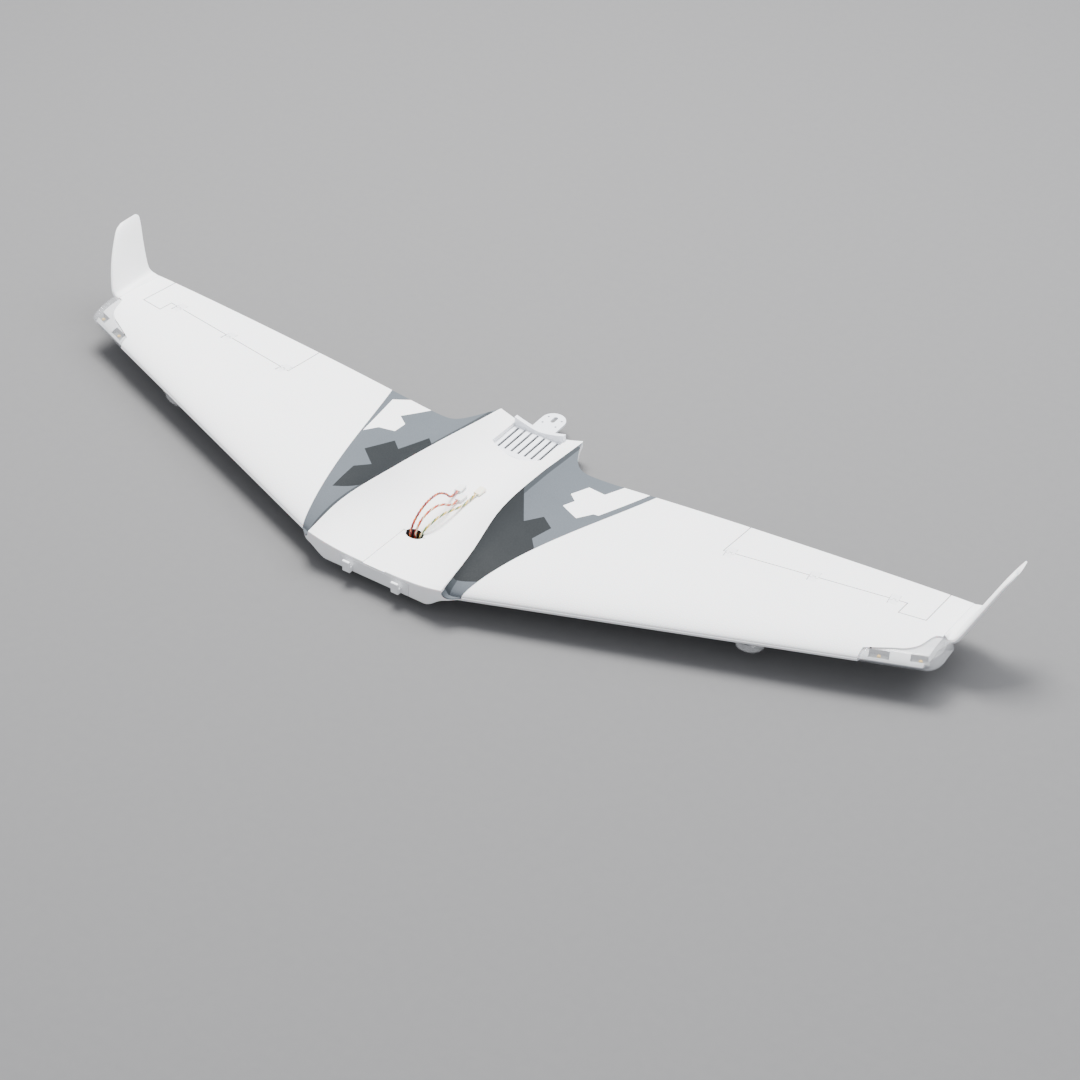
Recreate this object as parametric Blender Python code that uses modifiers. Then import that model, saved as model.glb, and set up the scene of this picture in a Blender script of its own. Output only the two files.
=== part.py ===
"""Foam flying-wing airframe with hinged elevons, linkages, tip lights and an open equipment tray.

Metres, +Z up. The nose points to -Y and the port wing to +X. The origin is on the flat of the
belly, under the balance point, so the airframe stands on z = 0.
"""
import math

import bmesh
import bpy
from mathutils import Matrix, Vector

for old_object in list(bpy.data.objects):
    bpy.data.objects.remove(old_object, do_unlink=True)

# ---------------------------------------------------------------- driving dimensions
GAP = 0.0003                # between pieces that touch
RUNNING = 0.00008           # radial clearance of a pin in its hole

# centre body: y, crest half width, crest height, tray floor, belly, dish exponent
BODY_STATIONS = (
    (-0.177, 0.0885, 0.0415, 0.0330, 0.0125, 3.2),
    (-0.120, 0.0850, 0.0512, 0.0303, 0.0062, 2.6),
    (-0.043, 0.0700, 0.0551, 0.0268, 0.0000, 2.2),
    (0.047, 0.0618, 0.0453, 0.0208, 0.0000, 2.1),
    (0.094, 0.0591, 0.0373, 0.0168, 0.0000, 2.0),
    (0.144, 0.0567, 0.0290, 0.0160, 0.0010, 1.6),
)
NOSE_Y = BODY_STATIONS[0][0]
TAIL_Y = BODY_STATIONS[-1][0]
BELLY_FLAT = 0.74           # share of the crest half width that is flat underneath
BELLY_RISE_END = 1.06       # share of it where the side meets the wing's lower skin
FLANK_POWER = 3.6           # how steeply the flank falls from the crest

# wing planform and section
ROOT_LE = (0.1062, -0.1643)
ROOT_TE = (0.1827, 0.1003)
TIP_X = 0.5585
LE_SWEEP = 0.3646
TIP_LE = ROOT_LE[1] + LE_SWEEP * (TIP_X - ROOT_LE[0])
TE_LINE = ((0.0980, 0.0925), (0.1827, 0.1003), (0.2990, 0.1083), (0.5320, 0.1180), (0.5800, 0.1182))
LE_Z, LE_RISE = 0.0300, 0.0205
TE_Z, TE_RISE = 0.0261, 0.0382
ROOT_THICK = 0.0250
TIP_THICK = 0.0145
CAMBER = 0.171
REFLEX_AT = 0.80
LE_HALF = 0.0012
TE_HALF = 0.0012
ROOT_FILLET_R = 0.32        # where the trailing edge meets the body's fairing
SKIN_STEPS = 11

# elevon and its hinges
HINGE_AT = 0.711            # share of the chord
ELEVON_X = (0.2985, TIP_X - 0.0268)
TAB_X = (ELEVON_X[1] - 0.0286, ELEVON_X[1])     # balance tab, ahead of the hinge line
TAB_REACH = 0.0205
HINGE_DEPTH = 0.0017        # axis under the top skin
HINGE_SLIT = 0.0006
END_GAP = 0.0012
FRONT_BEVEL = math.radians(31)
HINGE_WIDTH = 0.0100
HINGE_ENDS_X = (ELEVON_X[0] + HINGE_WIDTH / 2 + 0.0025, TAB_X[0] - HINGE_WIDTH / 2 - 0.0101)
HINGE_X = (HINGE_ENDS_X[0], sum(HINGE_ENDS_X) / 2 + 0.0030, HINGE_ENDS_X[1])
KNUCKLE_R = 0.0013
PIN_R = 0.0005
LEAF_LENGTH = 0.0095
LEAF_THICK = 0.0008
LEAF_TOP = KNUCKLE_R - 0.0002
KNUCKLE_ROOM = 0.0007       # foam clear of the knuckles
NOTCH_FLOOR = -0.0022       # under the axis

# linkage
LINK_X = HINGE_X[1] - 0.0120
SERVO_Y = -0.0420
SERVO_DROP = 0.0062         # shaft above the lower skin
CRANK = 0.0180              # servo arm and horn radius
ROD_R = 0.0006
SERVO_BODY = (0.0225, 0.0230, 0.0120)
SERVO_LUG = (0.0025, 0.0046)
SHAFT_END = 0.0058          # shaft to the near end of the case
SERVO_TOP = 0.0042          # case inboard of the arm
GEAR_BOSS = (0.0055, 0.0035)       # radius and height
SHAFT_R = 0.0022
ARM_SLOT = (0.0090, 0.0052)        # half length and outboard reach of the arm's slot in the skin
ARM_ENDS_R = (0.0034, 0.0023)
ARM_THICK = 0.0016
ROD_OFFSET = 0.0030         # rod beside the arm and the horn
ROD_TAIL = 0.0045           # rod past the connector's axis
HORN_THICK = 0.0016
HORN_TANG = (0.0030, 0.0062)       # half length and height
HORN_BAR = (0.0080, 0.0036, 0.0018)        # half width, half length, thickness
HORN_ENDS_R = (0.0031, 0.0030)
BARREL_R = 0.0024
STEM_R = 0.0010
SCREW_R = 0.0009
COVER_SIZE = (0.0340, 0.0480, 0.0185)
COVER_WALL = 0.0006
COVER_FLANGE = 0.0050
COVER_STANDOFF = 0.0010     # its glue line under the skin
COVER_SHIFT = 0.0020        # inboard of the arm
COVER_AHEAD = 0.0170        # its front edge ahead of the shaft

# winglet: outboard of the tip and above its trailing edge, leading y from the tip's leading edge,
# trailing y from its trailing edge, thickness, lean from level
WINGLET_RINGS = (
    (0.0003, 0.0000, 0.0476, -0.0001, 0.0110, 0),
    (0.0060, 0.0013, 0.0474, -0.0004, 0.0085, 14),
    (0.0115, 0.0044, 0.0476, -0.0015, 0.0070, 34),
    (0.0157, 0.0106, 0.0494, -0.0021, 0.0062, 55),
    (0.0275, 0.0356, 0.0649, 0.0057, 0.0052, 61),
    (0.0390, 0.0596, 0.0874, 0.0154, 0.0045, 62),
    (0.0425, 0.0656, 0.0959, 0.0169, 0.0040, 62),
    (0.0440, 0.0684, 0.1044, 0.0137, 0.0030, 62),
)

# tip lens and its lights
LENS_X = (TIP_X - 0.0597, TIP_X + 0.0145)
LENS_WALL = 0.0010
LENS_AIR = 0.0012           # between the wall and the foam step
LENS_EDGE_GAP = 0.0015
LENS_CUT = ((-0.0615, -0.0111), (-0.0345, 0.0039), (-0.0215, 0.0114), (-0.0125, 0.0229),
            (-0.0075, 0.0394), (-0.0005, 0.0444), (0.0175, 0.0449))     # from the tip's leading edge
LENS_EDGE = [(TIP_X + outboard, TIP_LE + aft) for outboard, aft in LENS_CUT]
BOARD_SIZE = (0.0190, 0.0066, 0.0010)
LIGHT_PLACES = ((TIP_X - 0.0445, TIP_LE - 0.0074), (TIP_X - 0.0055, TIP_LE + 0.0084))

# root spars
SPAR_R = 0.0030
SPAR_BORE = 0.0020
SPAR_ENDS_X = (0.0660, 0.4400)
SPAR_CHORD = 0.35

# front latch strip
STRIP_HALF = 0.0460
STRIP_Z = (0.0140, 0.0300)
STRIP_THICK = 0.0022
HOOK_X = 0.0324
HOOK_WIDTH = 0.0090
HOOK_REACH = 0.0075
GROOVE_HALF = 0.0147
GROOVE_DEPTH = 0.0010

# rear vent frame with its tongue
VENT_HALF = 0.0340
VENT_FRONT = 0.0865
VENT_TOP = 0.0175
VENT_THICK = 0.0020
SLOT_COUNT = 7
SLOT_PITCH = 0.0091
SLOT_HALF = 0.0015
SLOT_Y = (0.0945, 0.1370)
RIM_Y = (0.1380, 0.1430)
RIM_TOP = (0.0222, 0.0300)
TONGUE_HALF = 0.0150
TONGUE_END = 0.1830
TONGUE_TOP = 0.0205
TONGUE_THICK = 0.0028
DUCT_FLOOR = 0.0060

# lead hole and leads
LEAD_HOLE = (0.0, -0.1030)
LEAD_HOLE_HALF = (0.0110, 0.0078)
LEAD_HOLE_FLOOR = 0.0105
LEAD_R = 0.0015
PLUG_SIZE = (0.0080, 0.0140, 0.0027)
PLUG_PITCH = 0.00254
PLUG_HOLE = 0.0010
LEADS = {
    "aft_servo_lead": ((-0.0030, -0.1055, 0.0118), (-0.0032, -0.1062, 0.0210), (-0.0034, -0.1052, 0.0330),
                       (-0.0030, -0.0960, 0.0455), (-0.0026, -0.0780, 0.0540), (-0.0030, -0.0560, 0.0530),
                       (-0.0045, -0.0390, 0.0420), (-0.0058, -0.0280, 0.0308), (-0.0068, -0.0200, 0.0283),
                       (-0.0076, -0.0130, 0.0278)),
    "fore_servo_lead": ((0.0012, -0.1030, 0.0118), (0.0014, -0.1042, 0.0220), (0.0018, -0.1020, 0.0350),
                        (0.0030, -0.0900, 0.0455), (0.0045, -0.0720, 0.0480), (0.0048, -0.0560, 0.0420),
                        (0.0042, -0.0430, 0.0328), (0.0036, -0.0350, 0.0295), (0.0034, -0.0280, 0.0290)),
    "light_lead": ((0.0054, -0.1005, 0.0118), (0.0060, -0.1022, 0.0200), (0.0074, -0.1016, 0.0300),
                   (0.0110, -0.0890, 0.0385), (0.0132, -0.0690, 0.0400), (0.0140, -0.0500, 0.0350),
                   (0.0138, -0.0320, 0.0295), (0.0135, -0.0170, 0.0288), (0.0134, -0.0060, 0.0284)),
}

PARTS = bpy.data.collections.new("foam_flying_wing")
CUTTERS = bpy.data.collections.new("cutters")
bpy.context.scene.collection.children.link(PARTS)
bpy.context.scene.collection.children.link(CUTTERS)

# ---------------------------------------------------------------- materials
FINISHES = {
    "foam": ((0.83, 0.84, 0.85), 0.75, 0.0),
    "white_plastic": ((0.78, 0.79, 0.80), 0.40, 0.0),
    "grey_plastic": ((0.55, 0.56, 0.57), 0.45, 0.0),
    "servo_plastic": ((0.03, 0.05, 0.12), 0.35, 0.0),
    "steel": ((0.60, 0.60, 0.60), 0.30, 1.0),
    "brass": ((0.70, 0.52, 0.25), 0.35, 1.0),
    "carbon": ((0.03, 0.03, 0.03), 0.35, 0.0),
    "clear": ((0.92, 0.94, 0.95), 0.10, 0.0),
    "board": ((0.75, 0.75, 0.70), 0.50, 0.0),
    "lamp": ((0.90, 0.75, 0.25), 0.30, 0.0),
    "lead": ((0.60, 0.12, 0.06), 0.50, 0.0),
    "plug": ((0.82, 0.82, 0.78), 0.45, 0.0),
}


def finish_material(finish):
    """One Principled material per finish."""
    found = bpy.data.materials.get(finish)
    if found:
        return found
    colour, roughness, metallic = FINISHES[finish]
    material = bpy.data.materials.new(finish)
    material.use_nodes = True
    shader = material.node_tree.nodes["Principled BSDF"]
    shader.inputs["Base Color"].default_value = (*colour, 1)
    shader.inputs["Roughness"].default_value = roughness
    shader.inputs["Metallic"].default_value = metallic
    material.diffuse_color = (*colour, 1)
    return material


# ---------------------------------------------------------------- mesh helpers
def place(bm, name, finish=None, origin=(0, 0, 0)):
    """Turn a bmesh in world coordinates into an object whose origin is at the given point."""
    bmesh.ops.remove_doubles(bm, verts=bm.verts, dist=1e-7)
    bmesh.ops.recalc_face_normals(bm, faces=bm.faces)
    bmesh.ops.translate(bm, verts=bm.verts, vec=-Vector(origin))
    mesh = bpy.data.meshes.new(name)
    bm.to_mesh(mesh)
    bm.free()
    part = bpy.data.objects.new(name, mesh)
    part.location = origin
    if finish is None:
        CUTTERS.objects.link(part)
        part.hide_render = True
        part.display_type = "WIRE"
    else:
        PARTS.objects.link(part)
        mesh.materials.append(finish_material(finish))
        mesh.shade_smooth()
        mesh.set_sharp_from_angle(angle=math.radians(35))
    return part


def cut_by(part, tool, operation):
    """A live Boolean of a part with another object."""
    step = part.modifiers.new(tool.name, "BOOLEAN")
    step.operation = operation
    step.solver = "EXACT"
    step.object = tool


def combine(part, bm, operation):
    """Join a bmesh to a part, or cut it away."""
    cut_by(part, place(bm, f"{part.name}_{operation.lower()}_{len(part.modifiers)}"), operation)


def box(low, high, world=None):
    bm = bmesh.new()
    bmesh.ops.create_cube(bm, size=1)
    low, high = Vector(low), Vector(high)
    bmesh.ops.scale(bm, verts=bm.verts, vec=high - low)
    bmesh.ops.translate(bm, verts=bm.verts, vec=(low + high) / 2)
    if world is not None:
        bmesh.ops.transform(bm, verts=bm.verts, matrix=world)
    return bm


def rod(start, end, radius, sides=16, world=None, end_radius=None):
    start, end = Vector(start), Vector(end)
    bm = bmesh.new()
    bmesh.ops.create_cone(bm, cap_ends=True, segments=sides, radius1=radius,
                          radius2=radius if end_radius is None else end_radius,
                          depth=(end - start).length)
    turn = (end - start).to_track_quat("Z", "Y").to_matrix().to_4x4()
    bmesh.ops.transform(bm, verts=bm.verts, matrix=Matrix.Translation((start + end) / 2) @ turn)
    if world is not None:
        bmesh.ops.transform(bm, verts=bm.verts, matrix=world)
    return bm


def loft(rings):
    """Closed skin through rings of equal count, capped at both ends."""
    bm = bmesh.new()
    rows = [[bm.verts.new(point) for point in ring] for ring in rings]
    count = len(rings[0])
    for row, following in zip(rows, rows[1:]):
        for k in range(count):
            n = (k + 1) % count
            bm.faces.new((row[k], row[n], following[n], following[k]))
    bm.faces.new(rows[0])
    bm.faces.new(rows[-1])
    return bm


def prism(outline, axis, low, high, world=None):
    """A flat outline pushed along one axis; the outline's two numbers are the other two axes."""
    def corner(a, b, level):
        values = [a, b]
        values.insert(axis, level)
        return Vector(values)
    bm = loft([[corner(a, b, low) for a, b in outline], [corner(a, b, high) for a, b in outline]])
    if world is not None:
        bmesh.ops.transform(bm, verts=bm.verts, matrix=world)
    return bm


def arc(centre, radius, start, end, steps):
    """Points along an arc, angles in degrees."""
    angles = [math.radians(start + (end - start) * k / steps) for k in range(steps + 1)]
    return [(centre[0] + radius * math.cos(a), centre[1] + radius * math.sin(a)) for a in angles]


def mirrored(side):
    return Matrix.Diagonal((side, 1, 1, 1))


def smooth_curve(table, at, column=1):
    """Catmull-Rom value of a column of a table whose first column rises."""
    if at <= table[0][0]:
        return table[0][column]
    if at >= table[-1][0]:
        return table[-1][column]
    k = max(i for i in range(len(table) - 1) if table[i][0] <= at)
    x0, x1 = table[k][0], table[k + 1][0]
    y0, y1 = table[k][column], table[k + 1][column]
    slope = (y1 - y0) / (x1 - x0)
    before = (y0 - table[k - 1][column]) / (x0 - table[k - 1][0]) if k > 0 else slope
    after = (table[k + 2][column] - y1) / (table[k + 2][0] - x1) if k + 2 < len(table) else slope
    m0, m1 = (slope + before) / 2, (slope + after) / 2
    t, h = (at - x0) / (x1 - x0), x1 - x0
    return ((2 * t ** 3 - 3 * t ** 2 + 1) * y0 + (t ** 3 - 2 * t ** 2 + t) * h * m0
            + (3 * t ** 2 - 2 * t ** 3) * y1 + (t ** 3 - t ** 2) * h * m1)


# ---------------------------------------------------------------- wing surface
def le_y(x):
    return ROOT_LE[1] + LE_SWEEP * (x - ROOT_LE[0])


def te_y(x):
    first = TE_LINE[0]
    if x < first[0]:
        return first[1] + (x - first[0]) * (ROOT_TE[1] - first[1]) / (ROOT_TE[0] - first[0])
    return smooth_curve(TE_LINE, x)


def chord_share(x, y):
    return min(1.0, max(0.0, (y - le_y(x)) / (te_y(x) - le_y(x))))


def section_half(u):
    """Half thickness of the section as a share of its thickness."""
    return 5 * (0.2969 * math.sqrt(u) - 0.1260 * u - 0.3516 * u ** 2 + 0.2843 * u ** 3 - 0.1036 * u ** 4)


def wing_middle(x, y):
    u = chord_share(x, y)
    chord = te_y(x) - le_y(x)
    leading = LE_Z + LE_RISE * (x - ROOT_LE[0])
    trailing = TE_Z + TE_RISE * (x - ROOT_LE[0])
    return leading + (trailing - leading) * u + CAMBER * chord * u * (1 - u) * (REFLEX_AT - u)


def wing_half(x, y):
    u = chord_share(x, y)
    along = min(1.0, max(0.0, (x - ROOT_LE[0]) / (TIP_X - ROOT_LE[0])))
    thick = ROOT_THICK + (TIP_THICK - ROOT_THICK) * along
    return thick * section_half(u) + LE_HALF * (1 - u) + TE_HALF * u


def wing_skin(x, y, sign):
    """Height of the upper (sign 1) or lower (sign -1) skin."""
    return wing_middle(x, y) + sign * wing_half(x, y)


def joint_x(y):
    """The slanted plane where a wing panel meets the centre body."""
    return ROOT_LE[0] + (ROOT_TE[0] - ROOT_LE[0]) * (y - ROOT_LE[1]) / (ROOT_TE[1] - ROOT_LE[1])


def skin_shares():
    return [(k / SKIN_STEPS) ** 1.7 for k in range(SKIN_STEPS + 1)]


def wing_ring(position, root_shift, tip_x):
    """One chordwise loop; position runs from the joint plane (0) to the tip (1)."""
    upper, lower = [], []
    for u in skin_shares():
        x = ROOT_TE[0]
        for _ in range(12):
            y = le_y(x) + u * (te_y(x) - le_y(x))
            root = joint_x(y) + root_shift
            x = root + (tip_x - root) * position
        y = le_y(x) + u * (te_y(x) - le_y(x))
        upper.append(Vector((x, y, wing_skin(x, y, 1))))
        lower.append(Vector((x, y, wing_skin(x, y, -1))))
    x = upper[0].x
    apex = Vector((x, le_y(x) - 0.6 * LE_HALF, wing_middle(x, le_y(x))))
    return upper[::-1] + [apex] + lower


def wing_solid(side, root_shift=GAP):
    stations = (0, 0.12, 0.26, 0.40, 0.52, 0.64, 0.75, 0.85, 0.93, 1)
    bm = loft([wing_ring(s, root_shift, TIP_X) for s in stations])
    bmesh.ops.transform(bm, verts=bm.verts, matrix=mirrored(side))
    return bm


# ---------------------------------------------------------------- centre body
def crest_x(y):
    return smooth_curve(BODY_STATIONS, y, 1)


def flank(x, y):
    """0 on the crest, 1 on the joint plane."""
    return (x - crest_x(y)) / (joint_x(y) - crest_x(y))


def body_top(x, y):
    crest = smooth_curve(BODY_STATIONS, y, 2)
    if x <= crest_x(y):
        floor = smooth_curve(BODY_STATIONS, y, 3)
        return floor + (crest - floor) * (x / crest_x(y)) ** smooth_curve(BODY_STATIONS, y, 5)
    rise = crest - wing_skin(crest_x(y), y, 1)
    return wing_skin(x, y, 1) + rise * (1 - min(1.0, flank(x, y))) ** FLANK_POWER


def body_bottom(x, y):
    belly = max(0.0, smooth_curve(BODY_STATIONS, y, 4))
    share = (x / crest_x(y) - BELLY_FLAT) / (BELLY_RISE_END - BELLY_FLAT)
    if share <= 0:
        return belly
    skin = wing_skin(x, y, -1)
    share = min(1.0, share)
    return belly + (skin - belly) * share * share * (3 - 2 * share)


def rib_x(rib, y):
    """Ribs below 1 lie inside the crest, those above it between the crest and the joint plane."""
    if rib <= 1:
        return rib * crest_x(y)
    return crest_x(y) + (joint_x(y) - GAP / 2 - crest_x(y)) * (rib - 1)


def rib_ends(rib):
    if rib <= 1:
        return NOSE_Y, TAIL_Y
    r = rib - 1
    front = NOSE_Y + (ROOT_LE[1] - NOSE_Y) * (1 - math.cos(r * math.pi / 2)) ** 0.9
    if r < ROOT_FILLET_R:
        kink = TE_LINE[0][1]
        return front, kink + (TAIL_Y - kink) * (1 - r / ROOT_FILLET_R) ** 2.6
    rear = ROOT_TE[1]
    for _ in range(8):
        rear = te_y(rib_x(rib, rear))
    return front, rear


def body_ring(rib, side):
    upper, lower = [], []
    front, rear = rib_ends(rib)
    for u in skin_shares():
        y = front + (rear - front) * u
        x = rib_x(rib, y)
        upper.append(Vector((side * x, y, body_top(x, y))))
        lower.append(Vector((side * x, y, body_bottom(x, y))))
    x = rib_x(rib, front)
    bulge = 0.6 * LE_HALF * max(0.0, rib - 1) + 0.0002
    apex = Vector((side * x, front - bulge, (upper[0].z + lower[0].z) / 2))
    return upper[::-1] + [apex] + lower


def make_centre_body():
    ribs = (0.2, 0.4, 0.58, 0.74, 0.84, 0.92, 1, 1.05, 1.12, 1.21, 1.32, 1.5, 1.74, 2)
    rings = [body_ring(rib, -1) for rib in reversed(ribs)]
    rings += [body_ring(0, 1)] + [body_ring(rib, 1) for rib in ribs]
    body = place(loft(rings), "centre_body", "foam")

    # groove from the nose to the lead hole
    hole_y = LEAD_HOLE[1]
    nose_floor = smooth_curve(BODY_STATIONS, NOSE_Y, 3) - GROOVE_DEPTH
    hole_floor = smooth_curve(BODY_STATIONS, hole_y, 3) - GROOVE_DEPTH
    clear = 0.020
    groove = ((NOSE_Y - 0.002, nose_floor), (hole_y, hole_floor), (hole_y, hole_floor + clear),
              (NOSE_Y - 0.002, nose_floor + clear))
    combine(body, prism(groove, 0, -GROOVE_HALF, GROOVE_HALF), "DIFFERENCE")

    # oval hole where the leads come up
    oval = [(LEAD_HOLE[0] + LEAD_HOLE_HALF[0] * math.cos(k * math.pi / 10),
             hole_y + LEAD_HOLE_HALF[1] * math.sin(k * math.pi / 10)) for k in range(20)]
    combine(body, prism(oval, 2, LEAD_HOLE_FLOOR, hole_floor + clear), "DIFFERENCE")

    # seat of the latch strip in the nose
    seat = box((-STRIP_HALF - GAP, NOSE_Y - 0.003, STRIP_Z[0] - GAP),
               (STRIP_HALF + GAP, NOSE_Y + STRIP_THICK + GAP, STRIP_Z[1] + GAP))
    combine(body, seat, "DIFFERENCE")

    # seat of the vent frame, and the air duct under it that opens to the rear
    seat_low = VENT_TOP - VENT_THICK - GAP
    combine(body, prism(vent_outline(GAP), 2, seat_low, seat_low + 0.04), "DIFFERENCE")
    duct = box((-VENT_HALF + 0.005, VENT_FRONT + 0.004, DUCT_FLOOR),
               (VENT_HALF - 0.005, TAIL_Y + 0.002, seat_low + 0.001))
    combine(body, duct, "DIFFERENCE")

    for side in (-1, 1):
        inner, outer = spar_ends(side)
        reach = (outer - inner).normalized()
        combine(body, rod(inner - reach * GAP, inner + reach * 0.2, SPAR_R + GAP), "DIFFERENCE")


# ---------------------------------------------------------------- root spars
def spar_ends(side):
    ends = []
    for x in SPAR_ENDS_X:
        y = le_y(x) + SPAR_CHORD * (te_y(x) - le_y(x))
        ends.append(Vector((x, y, wing_middle(x, y) - 0.001)))
    return [mirrored(side) @ end for end in ends]


def make_spar(name, side):
    inner, outer = spar_ends(side)
    tube = place(rod(inner, outer, SPAR_R, sides=16), f"{name}_spar", "carbon")
    reach = (outer - inner).normalized() * 0.002
    combine(tube, rod(inner - reach, outer + reach, SPAR_BORE, sides=12), "DIFFERENCE")


# ---------------------------------------------------------------- elevon frame
def hinge_y(x):
    return le_y(x) + HINGE_AT * (te_y(x) - le_y(x))


def hinge_frame():
    """Port frame at the link's station: x along the hinge axis outboard, y aft, z up."""
    ends = [Vector((x, hinge_y(x), wing_skin(x, hinge_y(x), 1) - HINGE_DEPTH)) for x in ELEVON_X]
    along = (ends[1] - ends[0]).normalized()
    start = ends[0] + along * ((LINK_X - ends[0].x) / along.x)
    aft = Vector((0, 0, 1)).cross(along).normalized()
    up = along.cross(aft).normalized()
    frame = Matrix((along, aft, up)).transposed().to_4x4()
    frame.translation = start
    return frame


HINGE = hinge_frame()
ALONG = HINGE.col[0].to_3d()


def axis_point(x):
    """Point of the port hinge axis at a span station."""
    return HINGE.translation + ALONG * ((x - HINGE.translation.x) / ALONG.x)


def axis_prism(outline, x_low, x_high, side):
    """An outline in the hinge frame's aft and up, pushed along the axis between two span planes."""
    rings = []
    for x in (x_low, x_high):
        ring = []
        for aft, up in outline:
            point = HINGE @ Vector((0, aft, up))
            ring.append(point + ALONG * ((x - point.x) / ALONG.x))
        rings.append(ring)
    bm = loft(rings)
    bmesh.ops.transform(bm, verts=bm.verts, matrix=mirrored(side))
    return bm


def hinge_notch(x, facing, side):
    """Cutter for one hinge: deep round the knuckles, shallow under the leaf it faces."""
    far, knuckle_end, leaf_end = 0.01, KNUCKLE_R + KNUCKLE_ROOM, LEAF_LENGTH + GAP
    leaf_floor = LEAF_TOP - LEAF_THICK - GAP
    outline = ((-knuckle_end, NOTCH_FLOOR), (knuckle_end, NOTCH_FLOOR), (knuckle_end, leaf_floor),
               (leaf_end, leaf_floor), (leaf_end, far), (-knuckle_end, far))
    world = mirrored(side) @ Matrix.Translation(axis_point(x) - HINGE.translation) @ HINGE
    half = HINGE_WIDTH / 2 + GAP
    return prism([(facing * aft, up) for aft, up in outline], 0, -half, half, world)


def make_elevon(name, side):
    """Wing section behind the hinge line, bevelled below, with a balance tab near the tip."""
    far = 0.12
    elevon = place(wing_solid(side), f"{name}_elevon", "foam", mirrored(side) @ HINGE.translation)
    drop = 0.03
    main = ((HINGE_SLIT, drop), (HINGE_SLIT, HINGE_DEPTH - 0.0005),
            (HINGE_SLIT + drop * math.tan(FRONT_BEVEL), HINGE_DEPTH - 0.0005 - drop),
            (far, -drop), (far, drop))
    tab = [(0.012, drop)] + [(-TAB_REACH * 0.99, drop)]
    tab += arc((0, 0), TAB_REACH, 176, 248, 8) + [(0.012, -TAB_REACH)]
    keep = axis_prism(main, ELEVON_X[0], ELEVON_X[1], side)
    shape = place(keep, f"{name}_elevon_shape")
    combine(shape, axis_prism(tab, TAB_X[0], TAB_X[1], side), "UNION")
    cut_by(elevon, shape, "INTERSECT")
    for x in HINGE_X:
        combine(elevon, hinge_notch(x, 1, side), "DIFFERENCE")
    tang = horn_tang(GAP)
    combine(elevon, box(*tang, mirrored(side) @ HINGE @ HORN_TILT), "DIFFERENCE")


def cut_elevon_bay(wing, side):
    far, tall = 0.12, 0.04
    bay = ((-HINGE_SLIT, -tall), (far, -tall), (far, tall), (-HINGE_SLIT, tall))
    combine(wing, axis_prism(bay, ELEVON_X[0] - END_GAP, ELEVON_X[1] + END_GAP, side), "DIFFERENCE")
    reach = TAB_REACH + END_GAP
    bay = ((-reach, -tall), (0.01, -tall), (0.01, tall), (-reach, tall))
    combine(wing, axis_prism(bay, TAB_X[0] - END_GAP, TAB_X[1] + END_GAP, side), "DIFFERENCE")
    for x in HINGE_X:
        combine(wing, hinge_notch(x, -1, side), "DIFFERENCE")


def make_hinge(name, number, side):
    """A pinned flat hinge: the wing leaf carries the pin, the elevon leaf has two knuckles."""
    x = HINGE_X[number]
    world = mirrored(side) @ Matrix.Translation(axis_point(x) - HINGE.translation) @ HINGE
    origin = mirrored(side) @ axis_point(x)
    half, middle = HINGE_WIDTH / 2, HINGE_WIDTH / 6
    plate = (LEAF_TOP - LEAF_THICK, LEAF_TOP)
    knuckle_clear, strap_inset = 0.0002, 0.0001
    strap = middle - knuckle_clear - strap_inset
    fixed = place(box((-half, -LEAF_LENGTH, plate[0]), (half, -KNUCKLE_R - 0.0003, plate[1]), world),
                  f"{name}_hinge_{number + 1}_wing_leaf", "white_plastic", origin)
    combine(fixed, box((-strap, -KNUCKLE_R - 0.0005, plate[0]), (strap, 0, plate[1]), world), "UNION")
    combine(fixed, rod((-middle + knuckle_clear, 0, 0), (middle - knuckle_clear, 0, 0), KNUCKLE_R, 10,
                       world), "UNION")
    combine(fixed, rod((-half, 0, 0), (half, 0, 0), PIN_R, 8, world), "UNION")
    moving = place(box((-half, KNUCKLE_R + 0.0003, plate[0]), (half, LEAF_LENGTH, plate[1]), world),
                   f"{name}_hinge_{number + 1}_elevon_leaf", "white_plastic", origin)
    for low, high in ((-half, -middle), (middle, half)):
        link_end = (high - strap_inset, KNUCKLE_R + 0.0005, plate[1])
        combine(moving, box((low + strap_inset, 0, plate[0]), link_end, world), "UNION")
        combine(moving, rod((low, 0, 0), (high, 0, 0), KNUCKLE_R, 10, world), "UNION")
    combine(moving, rod((-half - 0.001, 0, 0), (half + 0.001, 0, 0), PIN_R + 2 * RUNNING, 8, world),
            "DIFFERENCE")


# ---------------------------------------------------------------- linkage
SERVO = Matrix.Translation(Vector((LINK_X, SERVO_Y, wing_skin(LINK_X, SERVO_Y, -1) + SERVO_DROP))
                           - HINGE.translation) @ HINGE
HORN_BASE = (0.0135, -0.0092)      # aft and up of the horn's foot in the hinge frame
HORN_TILT = Matrix.Rotation(math.radians(-18), 4, "X")


def plate_link(start, end, start_r, end_r, low, high, world):
    """A flat bar with round ends in the frame's aft and up plane."""
    start, end = Vector(start), Vector(end)
    heading = math.degrees(math.atan2(end.y - start.y, end.x - start.x))
    outline = arc(start, start_r, heading + 90, heading + 270, 8)
    outline += arc(end, end_r, heading - 90, heading + 90, 8)
    return prism(outline, 0, low, high, world)


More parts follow.
